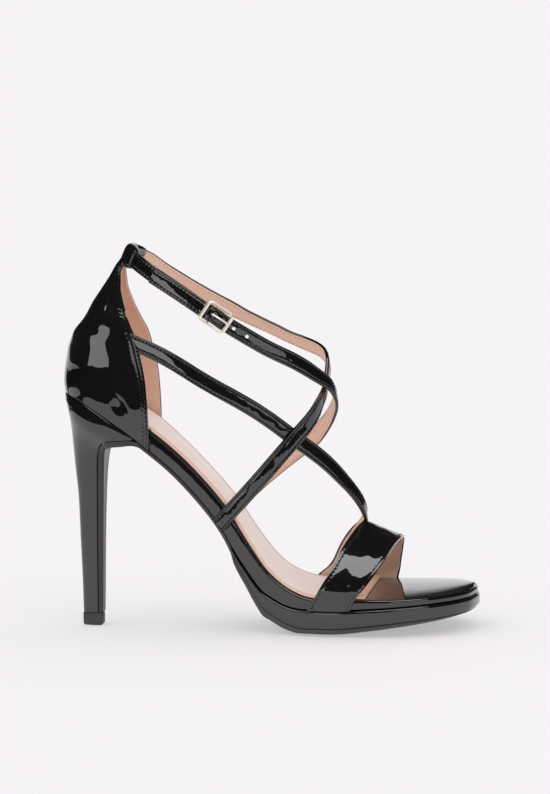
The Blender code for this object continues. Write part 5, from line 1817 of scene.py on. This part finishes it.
@dataclass(frozen=True)
class Finish:
    """A finish: what the surface is, its colour and how it takes the light."""

    name: str
    colour: str
    roughness: float
    metallic: float = 0.0
    ior: float = 1.5
    coat: float = 0.0
    coat_roughness: float = 0.03
    coat_ior: float = 1.5
    specular: float = 0.5

    def material(self) -> bpy.types.Material:
        """Return this finish's material, made once."""
        found = bpy.data.materials.get(self.name)
        if found is not None:
            return found
        material = bpy.data.materials.new(self.name)
        material.use_nodes = True
        tree = material.node_tree
        shader = tree.nodes["Principled BSDF"]
        values = {"Base Color": srgb(self.colour), "Roughness": self.roughness, "Metallic": self.metallic,
                  "IOR": self.ior, "Coat Weight": self.coat, "Coat Roughness": self.coat_roughness,
                  "Coat IOR": self.coat_ior, "Specular IOR Level": self.specular}
        for name, value in values.items():
            shader.inputs[name].default_value = value
        self.pattern(tree, shader)
        return material

    def pattern(self, tree: NodeTree, shader: Node) -> None:
        """Add this finish's own colour, roughness and relief."""

    @staticmethod
    def tint(tree: NodeTree, shader: Node, factor: NodeSocket, first: object, second: object) -> None:
        """Colour the surface from the first colour to the second by a factor."""
        mix = add_node(tree, "ShaderNodeMix", {"data_type": "RGBA"}, {"Factor": factor, "A": first, "B": second})
        tree.links.new(mix.outputs["Result"], shader.inputs["Base Color"])

    @staticmethod
    def noise(tree: NodeTree, size: float, detail: float) -> NodeSocket:
        """Return a cloudy value over the piece, with patches of about this size in metres."""
        where = add_node(tree, "ShaderNodeTexCoord")
        noise = add_node(tree, "ShaderNodeTexNoise", None,
                         {"Vector": where.outputs["Object"], "Scale": 1.0 / size, "Detail": detail})
        return noise.outputs["Fac"]

    @staticmethod
    def relief(tree: NodeTree, height: NodeSocket, depth: float, under: NodeSocket | None = None) -> NodeSocket:
        """Return the normal of a bump of this depth, over another bump where there is one."""
        links = {"Height": height, "Distance": depth, "Strength": 1.0} | ({"Normal": under} if under else {})
        return add_node(tree, "ShaderNodeBump", None, links).outputs["Normal"]


@dataclass(frozen=True)
class Patent(Finish):
    """Patent leather: dyed split under a poured clear film, so reflections are sharp but uneven."""

    swell: float = 0.0060
    swell_depth: float = 0.00004
    peel: float = 0.0012
    peel_depth: float = 0.000003

    def pattern(self, tree: NodeTree, shader: Node) -> None:
        """Add the film's slow swell and its fine orange peel."""
        slow = self.relief(tree, self.noise(tree, self.swell, 1.0), self.swell_depth)
        fine = self.relief(tree, self.noise(tree, self.peel, 1.0), self.peel_depth, slow)
        for socket in ("Normal", "Coat Normal"):
            tree.links.new(fine, shader.inputs[socket])


@dataclass(frozen=True)
class SmoothLeather(Finish):
    """Smooth lining leather: matt, finely pored, a little uneven in colour."""

    second: str = "#b98b79"
    patch: float = 0.014
    pore: float = 0.0009
    pore_depth: float = 0.00005

    def pattern(self, tree: NodeTree, shader: Node) -> None:
        """Add cloudy colour and pores, drawn coarser than real ones so that they show."""
        self.tint(tree, shader, self.noise(tree, self.patch, 3.0), srgb(self.colour), srgb(self.second))
        pores = self.relief(tree, self.noise(tree, self.pore, 4.0), self.pore_depth)
        tree.links.new(pores, shader.inputs["Normal"])


@dataclass(frozen=True)
class SockLeatherWithPaintedShade(SmoothLeather):
    """Padded sock leather: pale, with painted shade as a pinker border round its rim, outside the pressed line."""

    # Colour of the painted shade on the sock's rim
    edge: str = "#e9c4b2"

    def pattern(self, tree: NodeTree, shader: Node) -> None:
        """Add the painted shade, a pinker border, over the leather's own cloudiness."""
        super().pattern(tree, shader)
        leather = shader.inputs["Base Color"].links[0].from_socket
        border = add_node(tree, "ShaderNodeAttribute", {"attribute_name": "border"})
        self.tint(tree, shader, border.outputs["Fac"], leather, srgb(self.edge))


@dataclass(frozen=True)
class Rubber(Finish):
    """Moulded rubber: dull, with a fine texture from its mould."""

    grain: float = 0.0007
    grain_depth: float = 0.00004

    def pattern(self, tree: NodeTree, shader: Node) -> None:
        """Add the mould's texture."""
        grain = self.relief(tree, self.noise(tree, self.grain, 3.0), self.grain_depth)
        tree.links.new(grain, shader.inputs["Normal"])


@dataclass(frozen=True)
class LitTable(Finish):
    """Opal acrylic lit from below: matt, and bright enough to thin out the shadows on it."""

    glow: float = 0.41
    glow_colour: str = "#fffdff"

    def pattern(self, tree: NodeTree, shader: Node) -> None:
        """Add the light that comes through it."""
        shader.inputs["Emission Color"].default_value = srgb(self.glow_colour)
        shader.inputs["Emission Strength"].default_value = self.glow


@dataclass(frozen=True)
class Polished(Finish):
    """Plated and polished zinc casting: bright, with slight tarnish in its gloss."""

    patch: float = 0.004
    tarnish: float = 0.12

    def pattern(self, tree: NodeTree, shader: Node) -> None:
        """Add handling marks to the polish."""
        dull = add_node(tree, "ShaderNodeMapRange", None,
                        {"Value": self.noise(tree, self.patch, 3.0), "To Min": self.roughness,
                         "To Max": self.roughness + self.tarnish})
        tree.links.new(dull.outputs["Result"], shader.inputs["Roughness"])


# Black patent: near-black under a mirror-like film, which gives hard-edged reflections
PATENT = Patent("patent_leather_poured_film", "#0c090b", 0.40, coat=1.0, coat_roughness=0.02, coat_ior=1.78,
                specular=0.05)
# The same patent folded over the straps, a little more uneven after folding and sewing
STRAP_PATENT = Patent("patent_leather_folded", "#0c090b", 0.40, coat=1.0, coat_roughness=0.03, coat_ior=1.78,
                      specular=0.05, swell=0.0035, swell_depth=0.00006)
# The heel's cover is the same film over a moulded block, so it is smoother
HEEL_WRAP = Patent("patent_leather_drawn_on_heel", "#0e0b0d", 0.40, coat=1.0, coat_roughness=0.05, coat_ior=1.78,
                   specular=0.05, swell=0.0150, swell_depth=0.00005)
# Tan pigskin-like lining, matt and warm
LINING = SmoothLeather("lining_leather_tan", "#e8c6b2", 0.55, second="#dfb8a1")
# Nude sock leather, soft and satin, with painted shade as a pinker border round its rim
SOCK = SockLeatherWithPaintedShade("sock_leather_nude_painted_shade_rim", "#fff4ed", 0.42, second="#fbe8de", pore=0.0011, pore_depth=0.00003)
# Black outsole rubber, satin from its mould
TREAD = Rubber("outsole_rubber_moulded", "#2d292b", 0.30, coat=0.6, coat_roughness=0.10, grain_depth=0.00001)
# The same rubber on the heel's breast, roughened for its cement: satin, and lighter grey than the outsole as a
# painted reflection on the breast
FLAP = Rubber("breast_rubber_painted_reflection", "#3b383a", 0.50, coat=0.35, coat_roughness=0.14, specular=0.15)
# Grey-black top-piece rubber, dull
TIP = Rubber("top_piece_rubber", "#3a383b", 0.62)
# Pale gold plating, polished
METAL = Polished("plated_casting_pale_gold", "#fff8ec", 0.20, metallic=0.62)
# Bonded polyester thread, black and slightly shiny
THREAD = Finish("bonded_thread_black", "#0a080a", 0.50)
# The same thread in tan, as the bobbin lays it on the linings
BOBBIN = Finish("bonded_thread_tan", "#a67c66", 0.60)


# Stage

@dataclass
class Studio:
    """A pale lit floor, soft light all round, three soft boxes, a black card and the photograph's camera."""

    target: tuple[float, float, float] = (0.00228, -0.00089, 0.1155)
    distance: float = 3.0
    azimuth_deg: float = 7.0
    elevation_deg: float = 6.7
    roll_deg: float = -0.6
    focal_px: float = 6000.0
    frame_px: tuple[int, int] = (550, 794)
    sensor: float = 36.0
    floor_size: float = 60.0
    floor_front: float = -0.83
    dome: float = 1.045
    backdrop: float = 0.913
    backdrop_edge: tuple[float, float] = (0.945, 0.978)
    mirrored: tuple[float, float] = (0.012, 0.95)
    card_place: tuple[float, float, float] = (-0.12, 0.0, 0.0)
    card_radius: float = 0.30
    card_heights: tuple[float, float] = (0.036, 0.120)
    card_sweep_deg: float = 140.0

    def build(self) -> None:
        """Set up the floor, the card, the world, the lights and the camera."""
        self.floor()
        self.card()
        self.world()
        self.lights()
        self.camera()

    def floor(self) -> None:
        """Lay the floor."""
        bm = bmesh.new()
        bmesh.ops.create_grid(bm, x_segments=1, y_segments=1, size=self.floor_size / 2.0)
        bmesh.ops.translate(bm, verts=bm.verts, vec=(0.0, self.floor_size / 2.0 + self.floor_front, 0.0))
        floor = mesh_object("floor", bm)
        floor.data.materials.append(LitTable("opal_acrylic_pale", "#bcbabc", 0.9, specular=0.1).material())
        floor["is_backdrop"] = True

    def card(self) -> None:
        """Stand a black card round the back of the counter, which shows only in reflections."""
        bm = bmesh.new()
        ends = [bm.verts.new((0.0, -self.card_radius, height)) for height in self.card_heights]
        bmesh.ops.spin(bm, geom=[*ends, bm.edges.new(ends)], cent=(0.0, 0.0, 0.0), axis=(0.0, 0.0, 1.0),
                       angle=-math.radians(self.card_sweep_deg), steps=36)
        bmesh.ops.translate(bm, verts=bm.verts, vec=self.card_place)
        card = mesh_object("card", bm)
        card.data.materials.append(Finish("flocked_card_black", "#000000", 1.0, specular=0.0).material())
        card.visible_camera = card.visible_diffuse = card.visible_shadow = False
        card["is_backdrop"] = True

    def world(self) -> None:
        """Light the room evenly, with a bright backdrop in reflections and a dark room round it."""
        world = bpy.data.worlds.new("studio")
        bpy.context.scene.world = world
        world.use_nodes = True
        tree = world.node_tree
        where = add_node(tree, "ShaderNodeTexCoord")
        parts = add_node(tree, "ShaderNodeSeparateXYZ", None, {"Vector": where.outputs["Generated"]})
        behind = add_node(tree, "ShaderNodeMapRange", {"interpolation_type": "SMOOTHSTEP"},
                          {"Value": parts.outputs["Y"], "From Min": self.backdrop_edge[0],
                           "From Max": self.backdrop_edge[1], "To Min": self.mirrored[0],
                           "To Max": self.mirrored[1]})
        seen = add_node(tree, "ShaderNodeLightPath")
        room = add_node(tree, "ShaderNodeMix", {"data_type": "FLOAT"},
                        {"Factor": seen.outputs["Is Glossy Ray"], "A": self.dome, "B": behind.outputs["Result"]})
        mix = add_node(tree, "ShaderNodeMix", {"data_type": "FLOAT"},
                       {"Factor": seen.outputs["Is Camera Ray"], "A": room.outputs["Result"], "B": self.backdrop})
        background = tree.nodes["Background"]
        tree.links.new(mix.outputs["Result"], background.inputs["Strength"])
        background.inputs["Color"].default_value = (1.0, 0.985, 1.0, 1.0)

    def lights(self) -> None:
        """Hang the soft boxes that the patent mirrors: overhead, and at each side in front."""
        for name, place, size, radiance in (
                ("overhead", (0.05, -0.42, 1.65), (1.5, 0.75), 3.2),
                ("left_box", (-0.96, -1.43, 0.45), (1.10, 0.85), 1.9),
                ("right_box", (0.93, -1.55, 0.58), (1.25, 0.85), 1.2)):
            self.light(name, Vector(place), size, radiance)

    def light(self, name: str, place: Vector, size: tuple[float, float], radiance: float) -> None:
        """Hang one soft box, facing the shoe.

        Args:
            name: What it is called.
            place: Where its middle is.
            size: How wide and how high it is.
            radiance: How bright it looks.
        """
        lamp = bpy.data.lights.new(name, "AREA")
        lamp.shape = "RECTANGLE"
        lamp.size, lamp.size_y = size
        lamp.energy = radiance * math.pi * size[0] * size[1]
        obj = bpy.data.objects.new(name, lamp)
        bpy.context.scene.collection.objects.link(obj)
        obj.visible_diffuse = False
        obj.location = place
        obj.rotation_euler = (Vector(self.target) - place).to_track_quat("-Z", "Y").to_euler()

    def camera(self) -> None:
        """Set the camera up at the photograph's angle to the shoe, with plain colours."""
        bpy.context.scene.view_settings.view_transform = "Standard"
        azimuth, elevation = math.radians(self.azimuth_deg), math.radians(self.elevation_deg)
        back = Vector((math.sin(azimuth) * math.cos(elevation), -math.cos(azimuth) * math.cos(elevation),
                       math.sin(elevation)))
        data = bpy.data.cameras.new("camera")
        data.sensor_fit = "AUTO"
        data.sensor_width = self.sensor
        data.lens = self.focal_px * self.sensor / max(self.frame_px)
        data.clip_end = 100.0
        camera = bpy.data.objects.new("camera", data)
        bpy.context.scene.collection.objects.link(camera)
        camera.location = Vector(self.target) + back * self.distance
        roll = Matrix.Rotation(math.radians(self.roll_deg), 4, "Z")
        camera.rotation_euler = ((-back).to_track_quat("-Z", "Y").to_matrix().to_4x4() @ roll).to_euler()
        bpy.context.scene.camera = camera


def frame_shift(heel: Heel) -> Vector:
    """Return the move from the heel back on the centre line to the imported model's frame."""
    low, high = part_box("heel_tip")
    back = float(heel.section(0.0)[0]) - heel.tip_overhang
    return Vector((low.x - back, (low.y + high.y) / 2.0, 0.0))


def corners(bounds: tuple[Vector, Vector]) -> list[list[float]]:
    """Return a box's two corners as plain lists."""
    return [list(corner) for corner in bounds]


def main() -> None:
    """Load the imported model, dress every piece and set up the studio."""
    logging.basicConfig(level=logging.INFO, format="%(name)s: %(message)s")
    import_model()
    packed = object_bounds()
    last = Last()
    straps = Straps(last)
    heel = Heel(last)
    shift = frame_shift(heel)
    assemblies: Sequence = (Sole(last), heel, straps, Counter(last, straps), VampBand(last), Buckle(straps))
    for assembly in assemblies:
        for piece in assembly.build():
            piece.place(shift)
    Studio().build()
    {"cad": corners(packed), "visual": corners(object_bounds())}
    LOG.info("done")


if __name__ == "__main__":
    main()
